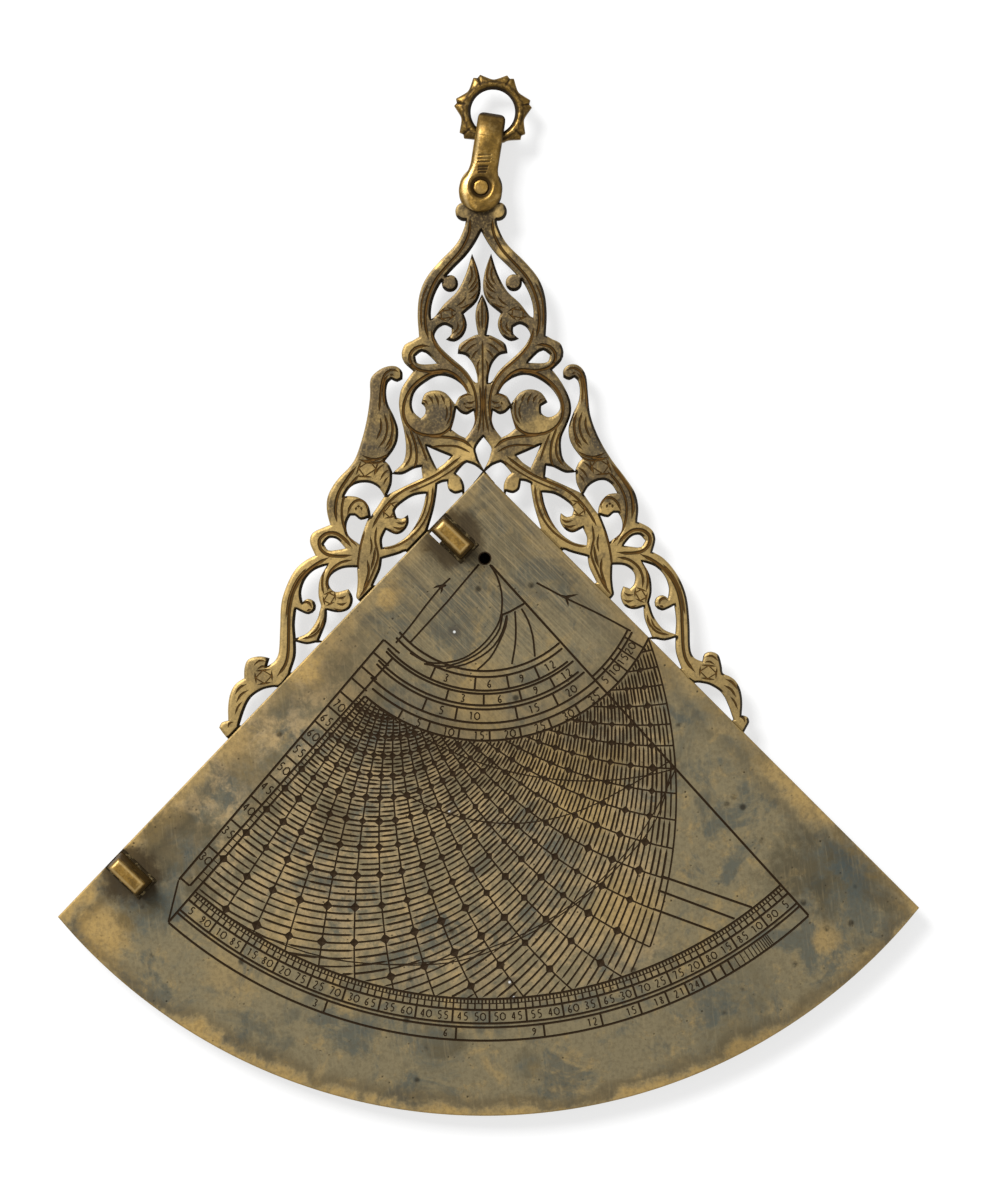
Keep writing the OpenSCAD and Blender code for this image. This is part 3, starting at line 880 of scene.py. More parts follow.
def engrave_hours(sheet, sizes):
    """Unequal-hour curves near the hole, and the two arrows."""
    wide = sizes.line_w
    curves = (
        [(1.2, -1.5), (3.0, -4.5), (4.1, -8.5), (4.2, -12.0), (3.6, -15.5), (1.6, -19.0), (-1.6, -22.4),
         (-5.5, -24.9), (-10.0, -26.0), (-14.6, -25.8), (-19.0, -23.4)],
        [(4.3, -13.8), (3.6, -17.5), (1.6, -20.6), (-1.4, -23.4), (-5.5, -25.6), (-10.5, -26.9),
         (-15.5, -26.2)],
        [(5.4, -14.2), (4.2, -18.5), (2.0, -22.0), (-1.0, -24.4), (-5.0, -26.4), (-10.0, -27.4)],
        [(5.4, -14.2), (5.1, -17.0), (3.4, -21.0), (1.0, -25.0), (-2.2, -27.9)],
        [(7.4, -13.2), (7.6, -17.0), (7.4, -21.5), (6.5, -26.6)],
        [(9.0, -12.6), (10.6, -15.5), (11.8, -19.5), (12.3, -24.8)],
    )
    for points in curves:
        sheet.cut(rounded_line(points, 1.8), wide * 0.85)
    sheet.cut(rounded_line([(4.2, -14.2), (6.2, -13.4), (8.0, -12.4), (9.8, -11.4)], 1.5), wide)
    sheet.cut([(-1.4, -1.4), (-9.5, -10.8), (-18.8, -20.8)], wide * 0.85)
    arrows = (
        ([(12.8, -6.2), (16.5, -8.2), (20.2, -10.2), (28.0, -14.0), (36.4, -18.6)],
         [(20.2, -10.2), (21.6, -9.6), (23.4, -9.2)], [(20.2, -10.2), (20.6, -11.2), (20.8, -12.4)],
         [(18.4, -9.4), (20.2, -9.8), (22.2, -9.3)]),
        ([(-8.6, -4.8), (-10.6, -6.6), (-14.8, -11.6), (-19.0, -17.0), (-22.5, -21.0)],
         [(-10.6, -6.6), (-12.0, -6.9), (-13.2, -7.4)], [(-10.6, -6.6), (-10.8, -7.8), (-11.2, -8.9)],
         [(-9.6, -6.6), (-10.9, -7.0), (-12.4, -7.0)]),
    )
    for shaft, *barbs in arrows:
        sheet.cut(rounded_line(shaft, 2.5), wide * 0.85)
        for barb in barbs:
            sheet.cut(barb, wide * 0.9, "tail")


def engrave_right_lines(sheet, sizes):
    """Three lines from the horizon to the limb's scale."""
    for start, stop in (((43.6, -80.0), (66.0, -88.0)), ((42.4, -83.4), (61.6, -90.8)),
                        ((41.0, -88.0), (56.8, -94.0))):
        sheet.cut([start, stop], sizes.line_w)


# The throne's carving: strokes on the right half, in millimetres, mirrored to the left.
# Each entry is a width and the points.
STRAP_LINES = (
    (0.7, [(2.7, 85.2), (3.1, 81.2), (5.1, 77.2), (8.1, 73.8), (11.2, 70.2), (13.1, 66.5), (14.1, 62.5),
            (14.2, 58.5), (13.4, 54.6)]),
    (0.4, [(13.3, 68.9), (14.9, 65.0), (15.3, 61.0), (15.1, 57.2)]),
    (0.6, [(12.9, 57.6), (12.0, 54.0), (10.2, 51.4), (7.7, 49.0), (5.1, 46.8), (3.2, 44.4), (2.1, 41.8),
           (1.6, 38.4), (1.9, 35.0), (3.0, 31.8)]),
    (0.7, [(12.9, 53.0), (14.8, 53.3), (16.9, 52.7), (18.2, 51.0), (17.9, 48.9), (16.2, 47.4),
           (13.0, 46.8), (9.6, 47.1), (7.0, 46.0), (4.8, 43.6), (3.2, 41.0)]),
    (0.7, [(9.0, 46.5), (12.6, 46.4), (16.0, 44.6), (18.7, 41.6), (19.9, 38.0), (19.6, 34.8),
           (17.8, 32.4), (14.8, 31.0), (11.0, 31.0), (8.6, 32.4), (7.2, 34.8), (7.0, 37.2)]),
    (0.5, [(0.8, 43.6), (0.5, 39.0), (0.7, 35.0), (1.4, 31.2)]),
    (0.7, [(2.4, 27.3), (5.0, 29.4), (8.6, 30.3), (12.6, 30.6), (16.6, 31.6)]),
    (0.5, [(3.2, 26.4), (6.6, 28.0), (10.4, 28.2), (13.6, 27.8)]),
    (0.5, [(16.8, 31.4), (15.4, 28.0), (14.0, 24.0)]),
    (0.6, [(18.6, 33.0), (17.0, 28.6), (16.8, 24.6), (17.8, 22.2)]),
    (0.5, [(19.4, 32.0), (18.2, 28.4), (18.4, 25.2), (20.2, 22.6)]),
    (0.6, [(5.6, 25.6), (8.8, 23.0), (12.2, 20.8), (16.0, 19.0), (20.0, 17.2), (23.2, 14.8),
           (26.0, 11.4), (28.2, 7.6)]),
    (0.4, [(4.6, 24.6), (8.0, 22.0), (11.6, 19.8), (15.4, 18.0), (19.0, 16.6)]),
    (0.5, [(12.7, 18.4), (13.1, 14.4), (14.4, 10.4), (16.7, 7.0), (19.9, 4.4), (23.0, 3.0),
           (25.6, 2.6)]),
    (0.4, [(13.9, 17.4), (14.4, 13.8), (15.8, 10.0), (18.2, 6.8)]),
    (0.5, [(26.9, 8.4), (27.3, 4.6), (26.6, 1.0), (27.6, -2.4), (29.6, -6.8), (31.6, -9.6)]),
    (0.5, [(29.8, 7.4), (30.8, 4.2), (31.5, 0.6), (31.8, -2.6)]),
    (0.75, [(31.6, 23.6), (34.3, 20.0), (36.5, 16.4), (37.2, 12.6), (36.8, 9.2)]),
    (0.6, [(30.8, 21.6), (33.4, 18.6), (35.2, 15.0), (35.6, 11.2), (34.9, 7.8), (33.4, 5.2),
           (31.8, 3.2)]),
    (0.75, [(33.0, 2.8), (35.0, 5.2), (37.2, 6.7), (39.6, 6.6), (41.3, 5.0), (41.0, 2.8), (39.2, 1.3),
            (36.0, 0.9), (32.8, 1.2)]),
    (0.75, [(38.6, 0.8), (42.4, -1.2), (45.6, -4.0), (47.9, -8.0), (49.0, -13.0), (49.2, -18.0),
            (49.4, -23.0), (50.2, -26.2), (52.4, -29.2)]),
    (0.4, [(44.4, -1.8), (47.0, -4.8), (49.0, -9.2), (49.9, -14.6)]),
    (0.6, [(32.8, 0.0), (36.0, -0.7), (38.4, -2.6), (39.5, -5.4), (39.3, -8.0)]),
    (0.5, [(39.4, -0.8), (40.4, -3.4), (40.7, -6.4), (40.2, -8.8)]),
    (0.5, [(22.2, 45.9), (23.3, 46.2), (24.5, 44.8), (24.9, 41.4), (24.6, 38.2)]),
    (0.55, [(20.8, 46.6), (22.4, 47.4), (24.2, 46.6), (25.2, 44.4), (25.7, 40.6), (26.0, 36.6)]),
    (0.6, [(23.4, 26.6), (25.6, 25.3), (28.2, 25.1), (30.6, 26.2)]),
    (0.5, [(23.6, 25.6), (26.0, 24.3), (28.8, 24.2), (31.4, 25.2)]),
)
VEINS = (
    (0.55, [(2.3, 75.4), (1.6, 72.4), (1.3, 70.4), (2.1, 68.5), (3.5, 67.0)]),
    (0.5, [(3.0, 73.6), (2.4, 71.4), (2.7, 69.6), (3.7, 68.2)]),
    (0.6, [(0.8, 69.6), (1.8, 67.4), (3.7, 66.2)]),
    (0.6, [(1.0, 67.0), (2.0, 65.4), (3.6, 64.6)]),
    (0.5, [(3.8, 65.6), (5.0, 64.0), (6.6, 63.0)]),
    (0.5, [(2.6, 63.9), (4.4, 62.8), (6.0, 62.6)]),
    (0.5, [(5.0, 60.6), (4.6, 58.6), (5.3, 56.8), (7.0, 55.5)]),
    (0.5, [(6.3, 59.4), (6.0, 58.0), (6.6, 56.9), (7.8, 56.2)]),
    (0.5, [(0.0, 65.0), (0.0, 61.0), (0.0, 57.0)]),
    (0.4, [(0.9, 62.4), (1.0, 60.0), (0.6, 57.2)]),
    (0.5, [(1.2, 55.2), (3.2, 54.4), (4.9, 52.9), (5.8, 51.6)]),
    (0.5, [(1.0, 53.9), (2.8, 52.9), (4.4, 51.3)]),
    (0.5, [(0.7, 52.4), (2.0, 51.2), (2.9, 49.6)]),
    (0.45, [(0.6, 50.0), (1.3, 48.0), (1.0, 45.0)]),
    (0.5, [(0.0, 54.6), (0.0, 48.0), (0.0, 42.0), (0.0, 36.0), (0.0, 31.4)]),
    (0.55, [(10.8, 41.4), (9.9, 39.9), (9.6, 38.4)]),
    (0.55, [(12.4, 41.5), (11.4, 39.8), (11.1, 37.9)]),
    (0.55, [(14.0, 41.0), (12.9, 39.9), (12.4, 38.4)]),
    (0.5, [(15.5, 39.8), (14.4, 39.4), (13.7, 38.3)]),
    (0.5, [(8.3, 40.2), (8.0, 37.4), (8.2, 35.2), (9.4, 33.2)]),
    (0.45, [(9.4, 38.6), (9.0, 36.4), (9.6, 34.2)]),
    (0.55, [(1.8, 39.7), (3.0, 38.8), (4.5, 39.1), (4.8, 38.2), (3.6, 37.5), (2.3, 38.0)]),
    (0.5, [(2.5, 40.6), (3.8, 41.0), (5.4, 40.4), (6.2, 39.4)]),
    (0.7, [(23.5, 36.6), (22.7, 33.5), (23.1, 30.2), (24.8, 27.6)]),
    (0.6, [(24.8, 36.6), (24.0, 33.2), (24.7, 30.0), (26.4, 27.8)]),
    (0.6, [(25.7, 35.6), (25.6, 32.6), (26.9, 29.6)]),
    (0.5, [(22.6, 30.2), (23.4, 28.4), (24.8, 26.8)]),
    (0.5, [(23.5, 22.6), (25.0, 21.4), (26.0, 19.6)]),
    (0.5, [(23.6, 20.9), (24.6, 19.8), (25.2, 18.4)]),
    (0.5, [(24.6, 24.0), (26.2, 22.8), (27.4, 21.0)]),
    (0.6, [(19.0, 9.9), (20.4, 8.9), (22.4, 9.3)]),
    (0.6, [(19.4, 8.5), (21.0, 7.6), (23.2, 8.2)]),
    (0.5, [(20.6, 7.0), (22.4, 6.7), (23.8, 7.7)]),
    (0.7, [(27.3, 3.4), (27.7, 0.2), (28.6, -3.0)]),
    (0.7, [(29.4, 0.2), (29.0, -2.8), (29.6, -5.4), (30.6, -7.8)]),
    (0.5, [(28.6, 6.0), (28.2, 3.4), (28.6, 1.0)]),
    (0.7, [(29.3, 11.9), (29.2, 13.4), (30.4, 14.8), (32.0, 14.7), (33.4, 13.4), (34.3, 11.0)]),
    (0.6, [(30.6, 12.2), (30.9, 13.3), (31.9, 13.3), (32.1, 12.2)]),
    (0.6, [(34.6, -8.8), (35.8, -9.6), (37.3, -9.4)]),
    (0.6, [(34.4, -10.5), (35.7, -11.2), (37.3, -10.8)]),
    (0.5, [(35.4, -12.4), (36.6, -12.6), (38.0, -12.0)]),
    (0.7, [(45.8, -11.2), (44.8, -10.4), (43.7, -11.0), (43.5, -12.2), (44.7, -12.7)]),
    (0.6, [(40.4, -14.2), (41.0, -16.8), (43.0, -18.9), (46.2, -19.7)]),
    (0.5, [(41.3, -15.2), (42.2, -17.4), (44.4, -19.0)]),
    (0.5, [(54.7, -25.2), (56.6, -25.0), (58.2, -26.4)]),
    (0.5, [(54.4, -26.6), (56.0, -26.4), (57.4, -27.4)]),
    (0.6, [(59.6, -30.7), (61.6, -31.7), (62.9, -33.6)]),
    (0.6, [(59.2, -32.2), (61.2, -33.4), (62.6, -35.6)]),
    (0.5, [(60.8, -35.0), (62.0, -36.4), (62.9, -38.6)]),
    (0.6, [(63.0, -40.2), (64.3, -40.6), (64.6, -41.8)]),
)
# Small lattices at the joints: their four corners.
LATTICES = (
    [(6.2, 61.5), (9.0, 63.0), (11.6, 60.6), (8.7, 59.3)],
    [(21.6, 14.4), (24.9, 13.3), (25.2, 10.2), (22.0, 10.8)],
    [(26.3, 24.6), (30.6, 24.8), (32.0, 20.9), (27.6, 20.6)],
    [(37.6, -7.6), (40.6, -8.8), (40.0, -11.6), (37.4, -10.4)],
    [(53.6, -27.2), (57.8, -27.6), (57.4, -31.0), (53.4, -30.4)],
)


def carve_throne(sheet):
    """The carved lines on both halves, those on the axis once."""
    for strokes, step, broader in ((STRAP_LINES, 0.9, 1.25), (VEINS, 0.7, 1.1)):
        for width, points in strokes:
            line = rounded_line(points, step)
            for side in (1,) if all(x == 0 for x, z in points) else (1, -1):
                sheet.cut([(side * x, z) for x, z in line], width * broader, "pointed")
    for corners in LATTICES:
        for side in (1, -1):
            a, b, c, d = (np.array((side * x, z)) for x, z in corners)
            for p, q in ((a, b), (b, c), (c, d), (d, a)):
                sheet.cut([p, q], 0.5, "pointed")
            middles = ((a + b) / 2, (b + c) / 2, (c + d) / 2, (d + a) / 2)
            for p, q in zip(middles, middles[1:] + middles[:1]):
                sheet.cut([p, q], 0.36)


# Materials

def new_material(name):
    """An empty material, its nodes and the place on the piece."""
    material = bpy.data.materials.new(name)
    material.use_nodes = True
    material.node_tree.nodes.clear()
    nodes = Nodes(material.node_tree)
    place = nodes.add("ShaderNodeTexCoord", output="Object")
    return material, nodes, place


def finish_material(nodes, base, roughness, metallic, bump_height, bump_distance):
    normal = nodes.add("ShaderNodeBump", None,
                       {"Strength": 1.0, "Distance": bump_distance, "Height": bump_height})
    shader = nodes.add("ShaderNodeBsdfPrincipled", None, {
        "Base Color": base, "Roughness": roughness, "Metallic": metallic, "Normal": normal,
        "Specular IOR Level": 0.12})
    nodes.add("ShaderNodeOutputMaterial", None, {"Surface": shader})


def away_from(x, z, place_x, place_z):
    """Distance from a place on the face."""
    return ((x - place_x) ** 2.0 + (z - place_z) ** 2.0) ** 0.5


def front_and_wall(nodes):
    """How far a spot belongs to the front, and how far to a wall."""
    normal_y = nodes.apart(nodes.add("ShaderNodeTexCoord", output="Normal"))[1]
    return nodes.ease(normal_y, 0.6, 0.3), nodes.ease(abs(normal_y), 0.6, 0.2)


# Where the plate has darkened and where it is rubbed to bare metal: x, z, radius and share.
TARNISHED = (
    (89, -79, 17, 1.0), (99, -81, 9, 0.8), (61, -113, 14, 0.5), (-77, -72, 13, 1.0), (-86, -84, 10, 1.0),
    (-59, -54, 10, 0.8), (-50, -36, 6, 0.5), (8, 4, 13, 0.4), (-13, -121, 7, 0.9), (-31, -117, 4, 0.7),
    (10, -127, 4, 0.7), (-20, -43, 14, 0.6), (-36, -67, 7, 0.7), (28, -51, 11, 0.6), (41, -57, 8, 0.6),
    (19, -72, 7, 0.5), (30, -10, 8, 0.4), (-94, -78, 6, 0.7), (57, -38, 7, 0.6), (66, -46, 8, 0.6),
)
RUBBED = (
    (-64, -46, 8, 0.8), (-46, -26, 5, 0.9), (-24, -9, 4, 0.8), (22, -58, 13, 0.6), (-97, -92, 8, 0.9),
    (55, -24, 5, 0.8), (-78, -62, 3, 0.6), (34, -88, 8, 0.5), (-2, -33, 9, 0.4), (-64, -104, 7, 0.3),
    (100, -74, 4, 0.9), (84, -96, 5, 0.6),
)

# Marks that the compasses left, each with a painted highlight at the bottom: x and z.
PRICK_MARKS = ((-7.8, -18.3), (-9.6, -63), (5.1, -106), (6, -109.8))


def blotches(nodes, x, z, ragged, places):
    """How much of the spot each of a few round blotches covers, with ragged borders."""
    covered = None
    for px, pz, radius, share in places:
        away = away_from(x, z, px, pz) * (1 / radius)
        part = nodes.ease(away + ragged, 1.35, 0.35) * share
        covered = part if covered is None else covered.high(part)
    return covered


# Where the throne is darkest and where it is bare.
THRONE_TARNISHED = (
    (-27, 29, 5, 0.8), (-12, 36, 4, 0.8), (10, 37, 4, 0.8), (29, 27, 4, 0.9), (24, 31, 3, 0.6),
    (38, 15, 4, 0.7),
    (-30, -1, 5, 0.6), (-11, 30, 4, 0.5), (10, 29, 4, 0.5), (14, 67, 5, 0.5), (-14, 66, 4, 0.4),
    (26, 38, 5, 0.4), (57, -27, 6, 0.4), (62, -36, 6, 0.4),
)
THRONE_BARE = (
    (-4, 26, 3, 1.0), (-12, 18, 5, 0.7), (4, 82, 2, 0.9), (6, 77, 2, 0.9), (-7, 80, 2, 0.8),
    (-11, 74, 2, 0.8), (5, 86, 2, 0.8), (-5, 86, 2, 0.3), (27, 42, 3, 0.8), (-33, 33, 3, 0.6),
    (31, 10, 4, 0.7), (-42, 2, 6, 0.7),
)


def plate_metal(colours):
    """Mottled old brass: thin patina, bluish stains, bare gold towards the edges, brushed lines."""
    material, nodes, place = new_material("plate_brass")
    metre_x, _, metre_z = nodes.apart(place)
    x = metre_x * (1 / MM)
    z = metre_z * (1 / MM)
    in_front, wall = front_and_wall(nodes)
    cut = nodes.attribute("cut") * in_front
    rim = nodes.attribute("rim") * in_front
    broad = nodes.noise(place, 36.0, 6.0, 0.68, 0.6)
    middle = nodes.noise(nodes.placed(place, shift=(0.3, 0.1, 0.2)), 62.0, 6.0, 0.7, 0.5)
    small = nodes.noise(nodes.placed(place, shift=(0.6, 0.4, 0.9)), 230.0, 5.0, 0.7, 0.4)
    fine = nodes.noise(place, 1100.0, 3.0, 0.6)
    ragged = (middle - 0.5) * 3.2 + (small - 0.5) * 1.4
    radius = (x * x + z * z) ** 0.5
    to_side = (z * -1.0 + corner_h) * math.sin(half_angle) - abs(x) * math.cos(half_angle)
    to_edge = (limb_r - radius + 2.5).low(to_side)
    inset = to_edge + (broad - 0.5) * 18.0 + (middle - 0.5) * 8.0 + (small - 0.5) * 4.0
    low_part = nodes.ease(limb_r - radius, 70.0, 30.0, 0.4, 1.0)
    worn_edge = nodes.ease(inset, 5.2, 1.0) * low_part
    edge_stain = nodes.ease(inset, 3.0, 5.0) * nodes.ease(inset, 9.0, 5.0)
    edge_stain = edge_stain * nodes.ease(to_edge, 11.0, 6.0)
    gold = nodes.ease(broad, 0.53, 0.66) * 0.4 + nodes.ease(small, 0.52, 0.72) * 0.35
    base = nodes.mix(gold.clamped(), colour(colours.plate_olive), colour(colours.plate_gold))
    stains = nodes.ease(middle, 0.50, 0.62)
    base = nodes.mix(stains * 0.75, base, colour(colours.plate_slate))
    cloud = nodes.noise(nodes.placed(place, shift=(0.8, 0.2, 0.5)), 44.0, 5.0, 0.62, 0.8)
    base = nodes.mix(nodes.ease(cloud, 0.54, 0.64) * 0.5, base, (0.052, 0.064, 0.060, 1))
    top_left = nodes.ease(x * 0.4 - z, 40.0, 5.0)
    base = nodes.mix(top_left * 0.3, base, (0.085, 0.068, 0.038, 1))
    grid = nodes.ease(radius, 30.0, 50.0) * nodes.ease(radius, 118.0, 100.0) * nodes.ease(x, 46.0, 40.0)
    base = nodes.mix(grid * nodes.ease(small, 0.40, 0.60) * 0.55, base, (0.46, 0.33, 0.165, 1))
    grimy = nodes.ease(radius + (middle - 0.5) * 16.0, 66.0, 46.0) * nodes.ease(radius, 30.0, 44.0)
    base = nodes.mix(grimy * 0.4, base, (0.07, 0.048, 0.02, 1))
    rubbed = blotches(nodes, x, z, ragged, RUBBED).high(worn_edge * 0.9)
    base = nodes.mix(rubbed * 0.9, base, colour(colours.plate_gold))
    base = nodes.mix(edge_stain * low_part * 0.45, base, (0.085, 0.055, 0.022, 1))
    tarnished = blotches(nodes, x, z, ragged, TARNISHED)
    dark = nodes.mix(nodes.ease(middle, 0.40, 0.58), (0.048, 0.042, 0.026, 1), (0.05, 0.064, 0.062, 1))
    base = nodes.mix(tarnished * 0.72, base, dark)
    base = nodes.mix(nodes.ease(fine, 0.38, 0.72) * 0.4, base, (0.09, 0.07, 0.04, 1))
    upright = nodes.placed(nodes.placed(place, turn=(0, 0.12, 0)), scale=(1500, 1, 130))
    brushed = nodes.noise(upright, 1.0, 3.0, 0.6)
    base = nodes.mix(nodes.ease(brushed, 0.5, 0.75) * 0.18, base, (0.36, 0.28, 0.15, 1))
    corner = nodes.ease((x * x + (z - 4.0) ** 2.0) ** 0.5, 60.0, 14.0)
    slanting = nodes.placed(place, turn=(0, -0.8, 0))
    crossed = nodes.noise(nodes.placed(slanting, scale=(75, 1, 2200)), 1.0, 5.0, 0.7)
    base = nodes.mix(nodes.ease(crossed, 0.48, 0.66) * corner * 0.45, base, (0.36, 0.27, 0.14, 1))
    base = nodes.mix(nodes.ease(crossed, 0.48, 0.34) * corner * 0.5, base, (0.06, 0.05, 0.035, 1))
    bands = nodes.noise(nodes.placed(slanting, scale=(22, 1, 260)), 1.0, 3.0, 0.6)
    base = nodes.mix(nodes.ease(bands, 0.5, 0.62) * corner * 0.4, base, (0.07, 0.062, 0.045, 1))
    scattered = nodes.ease(nodes.cells(place, 130.0), 0.15, 0.05) * nodes.ease(middle, 0.46, 0.58)
    dots = nodes.ease(nodes.cells(place, 520.0), 0.2, 0.08) * nodes.ease(small, 0.5, 0.62)
    base = nodes.mix((scattered + dots).clamped() * 0.8, base, (0.02, 0.016, 0.01, 1))
    # Painted shade: the plate is painted darker round each sight vane, as the vane's shadow.
    for vane in ("upper_sight_vane", "lower_sight_vane"):
        low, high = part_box(vane)
        centre = (low + high) / 2
        away = away_from(metre_x, metre_z, centre.x, centre.z) * (1 / MM)
        base = nodes.mix(nodes.ease(away + (small - 0.5) * 8.0, 9.5, 5.5) * 0.8, base,
                         (0.04, 0.026, 0.012, 1))
    worn = nodes.ease(rim + (small - 0.5) * 1.4, 0.7, 1.1) * nodes.ease(radius, 4.0, 8.0)
    base = nodes.mix(worn * 0.5, base, (0.36, 0.24, 0.08, 1))
    # Painted shade: the side walls, the cord hole's among them, are painted darker.
    base = nodes.mix(wall * 0.7, base, (0.09, 0.055, 0.02, 1))
    pricked = None
    for px, pz in PRICK_MARKS:
        away = away_from(x, z, px, pz)
        pricked = away if pricked is None else pricked.low(away)
    base = nodes.mix(nodes.ease(pricked + (small - 0.5) * 1.4, 2.4, 0.6) * 0.6, base,
                     (0.045, 0.04, 0.035, 1))
    # Painted highlight: a pale glint at the middle of each compass mark.
    base = nodes.mix(nodes.ease(pricked, 0.45, 0.2) * in_front, base, (0.6, 0.6, 0.58, 1))
    # Old dirt in the grooves, and painted shade on the cord hole's wall and rim.
    groove_dirt_and_hole_shade = nodes.ease(cut, 0.0, 0.14).high(nodes.ease(radius, 1.8, 1.6))
    base = nodes.mix(groove_dirt_and_hole_shade * 0.98, base, colour(colours.dirt))
    roughness = 0.40 + tarnished * 0.12 + groove_dirt_and_hole_shade * 0.3 + fine * 0.1 - worn * 0.1
    metallic = 0.7 - groove_dirt_and_hole_shade * 0.65 - stains * 0.15
    height = fine * 0.3 + crossed * corner * 0.6 + brushed * 0.1 - (scattered + dots) * 0.5
    finish_material(nodes, base, roughness, metallic, height, 0.00006)
    return material


def throne_metal(colours):
    """Golden carved brass with brown dirt in the cuts, painted shade on the walls and lower-right edges,
    and worn ridges.
    """
    material, nodes, place = new_material("throne_brass")
    metre_x, _, metre_z = nodes.apart(place)
    x = metre_x * (1 / MM)
    z = metre_z * (1 / MM)
    in_front, upright = front_and_wall(nodes)
    cut = nodes.attribute("cut") * in_front
    rim = nodes.attribute("rim") * in_front
    lee = nodes.attribute("lee") * in_front
    broad = nodes.noise(place, 80.0, 5.0, 0.65, 0.6)
    middle = nodes.noise(nodes.placed(place, shift=(0.2, 0.7, 0.1)), 330.0, 5.0, 0.65, 0.3)
    fine = nodes.noise(place, 1900.0, 3.0, 0.6)
    golden = nodes.ease(broad + nodes.ease(z, 50.0, -5.0) * 0.2, 0.50, 0.68)
    base = nodes.mix(golden * 0.95, (0.112, 0.080, 0.042, 1), colour(colours.throne_gold))
    greyed = nodes.ease(middle, 0.46, 0.60) * (1 - golden * 0.5)
    base = nodes.mix(greyed * 0.75, base, (0.056, 0.045, 0.028, 1))
    ragged = (middle - 0.5) * 3.0
    dull = blotches(nodes, x, z, ragged, THRONE_TARNISHED)
    base = nodes.mix(dull * 0.8, base, (0.05, 0.045, 0.036, 1))
    bare = blotches(nodes, x, z, ragged, THRONE_BARE)
    base = nodes.mix(bare * 0.85, base, (0.50, 0.34, 0.12, 1))
    base = nodes.mix(nodes.ease(z, 15.0, -15.0) * 0.3, base, (0.44, 0.31, 0.125, 1))
    head = nodes.ease(z + (middle - 0.5) * 8, 77.0, 84.0) * nodes.ease(abs(x), 3.8, 2.6)
    base = nodes.mix(head * 0.85, base, (0.038, 0.027, 0.015, 1))
    base = nodes.mix(nodes.ease(fine, 0.45, 0.75) * 0.35, base, (0.42, 0.29, 0.11, 1))
    base = nodes.mix(nodes.ease(fine, 0.45, 0.25) * 0.4, base, (0.06, 0.04, 0.018, 1))
    ridge = nodes.ease(rim + (middle - 0.5) * 0.9, 0.55, 0.9)
    base = nodes.mix(ridge * 0.4, base, (0.46, 0.32, 0.12, 1))
    # Painted shade: the walls and the slanting edges that face the lower right are painted near black.
    wall = upright.high(nodes.ease(lee, 0.2, 0.5))
    base = nodes.mix(wall * 0.96, base, (0.012, 0.007, 0.002, 1))
    edged = nodes.ease(cut, 0.02, 0.3)
    deep = nodes.ease(cut, 0.5, 1.0)
    base = nodes.mix(edged * 0.9, base, (0.03, 0.015, 0.004, 1))
    base = nodes.mix(deep * 0.75, base, (0.15, 0.075, 0.016, 1))
    roughness = 0.38 + edged * 0.15 + fine * 0.12 + wall * 0.3
    metallic = 0.8 - edged * 0.4 - wall * 0.7
    height = fine * 0.25 + middle * 0.6 + broad * 0.3
    finish_material(nodes, base, roughness, metallic, height, 0.00012)
    return material


def handled_metal(name, colours, dark_share, tone=1.0, dullness=0.27):
    """Polished by handling, with patches of dark patina; the "cut" number darkens dirt and painted shade,
    and the "rim" number paints highlights.
    """
    material, nodes, place = new_material(name)
    broad = nodes.noise(place, 240.0, 4.0, 0.65, 0.5)
    middle = nodes.noise(nodes.placed(place, shift=(0.1, 0.5, 0.3)), 620.0, 4.0, 0.7, 0.4)
    fine = nodes.noise(place, 1700.0, 4.0, 0.65)
    cut = nodes.attribute("cut")
    rim = nodes.attribute("rim")
    gold = [c * tone for c in colours.polished]
    base = nodes.mix(nodes.ease(broad, 0.42, 0.62) * dark_share, colour(gold), (0.07, 0.042, 0.012, 1))
    base = nodes.mix(nodes.ease(middle, 0.5, 0.64) * dark_share, base, (0.08, 0.05, 0.018, 1))
    base = nodes.mix(nodes.ease(middle, 0.5, 0.38) * 0.3, base, (0.44, 0.3, 0.11, 1))
    base = nodes.mix(nodes.ease(fine, 0.52, 0.72) * 0.45, base, (0.06, 0.036, 0.012, 1))
    # Painted highlight where the "rim" number is high.
    base = nodes.mix(nodes.ease(rim, 0.1, 1.0) * 0.8, base, (0.62, 0.44, 0.19, 1))
    # The "cut" number darkens dirt and painted shade alike.
    base = nodes.mix(nodes.ease(cut, 0.05, 0.9) * 0.95, base, (0.018, 0.009, 0.002, 1))
    roughness = dullness + broad * 0.2 + cut * 0.2 - rim * 0.08
    height = broad * 0.6 + middle * 0.35 + fine * 0.2
    finish_material(nodes, base, roughness, 0.92 - cut * 0.5, height, 0.00013)
    return material


def solder_metal():
    """Dull solder with lighter lumps, painted dark as the shade round the vane's foot."""
    material, nodes, place = new_material("solder_gold")
    lumps = nodes.noise(place, 700.0, 4.0, 0.6)
    base = nodes.mix(nodes.ease(lumps, 0.5, 0.66), (0.035, 0.024, 0.011, 1), (0.2, 0.15, 0.07, 1))
    finish_material(nodes, base, 0.5 + lumps * 0.2, 0.5 + lumps * 0.2, lumps, 0.0002)
    return material


def paint(piece, material):
    piece.data.materials.clear()
    piece.data.materials.append(material)


# Pieces

def merged_copy(node, name):
    """A closed copy of a CAD node's mesh under a new name."""
    mesh = frame["nodes"][node].data.copy()
    mesh.name = name
    mesh.materials.clear()
    work = bmesh.new()
    work.from_mesh(mesh)
    bmesh.ops.remove_doubles(work, verts=work.verts, dist=2e-6)
    bmesh.ops.dissolve_limit(work, angle_limit=math.radians(0.5), verts=work.verts, edges=work.edges)
    work.to_mesh(mesh)
    work.free()
    return linked(name, mesh)


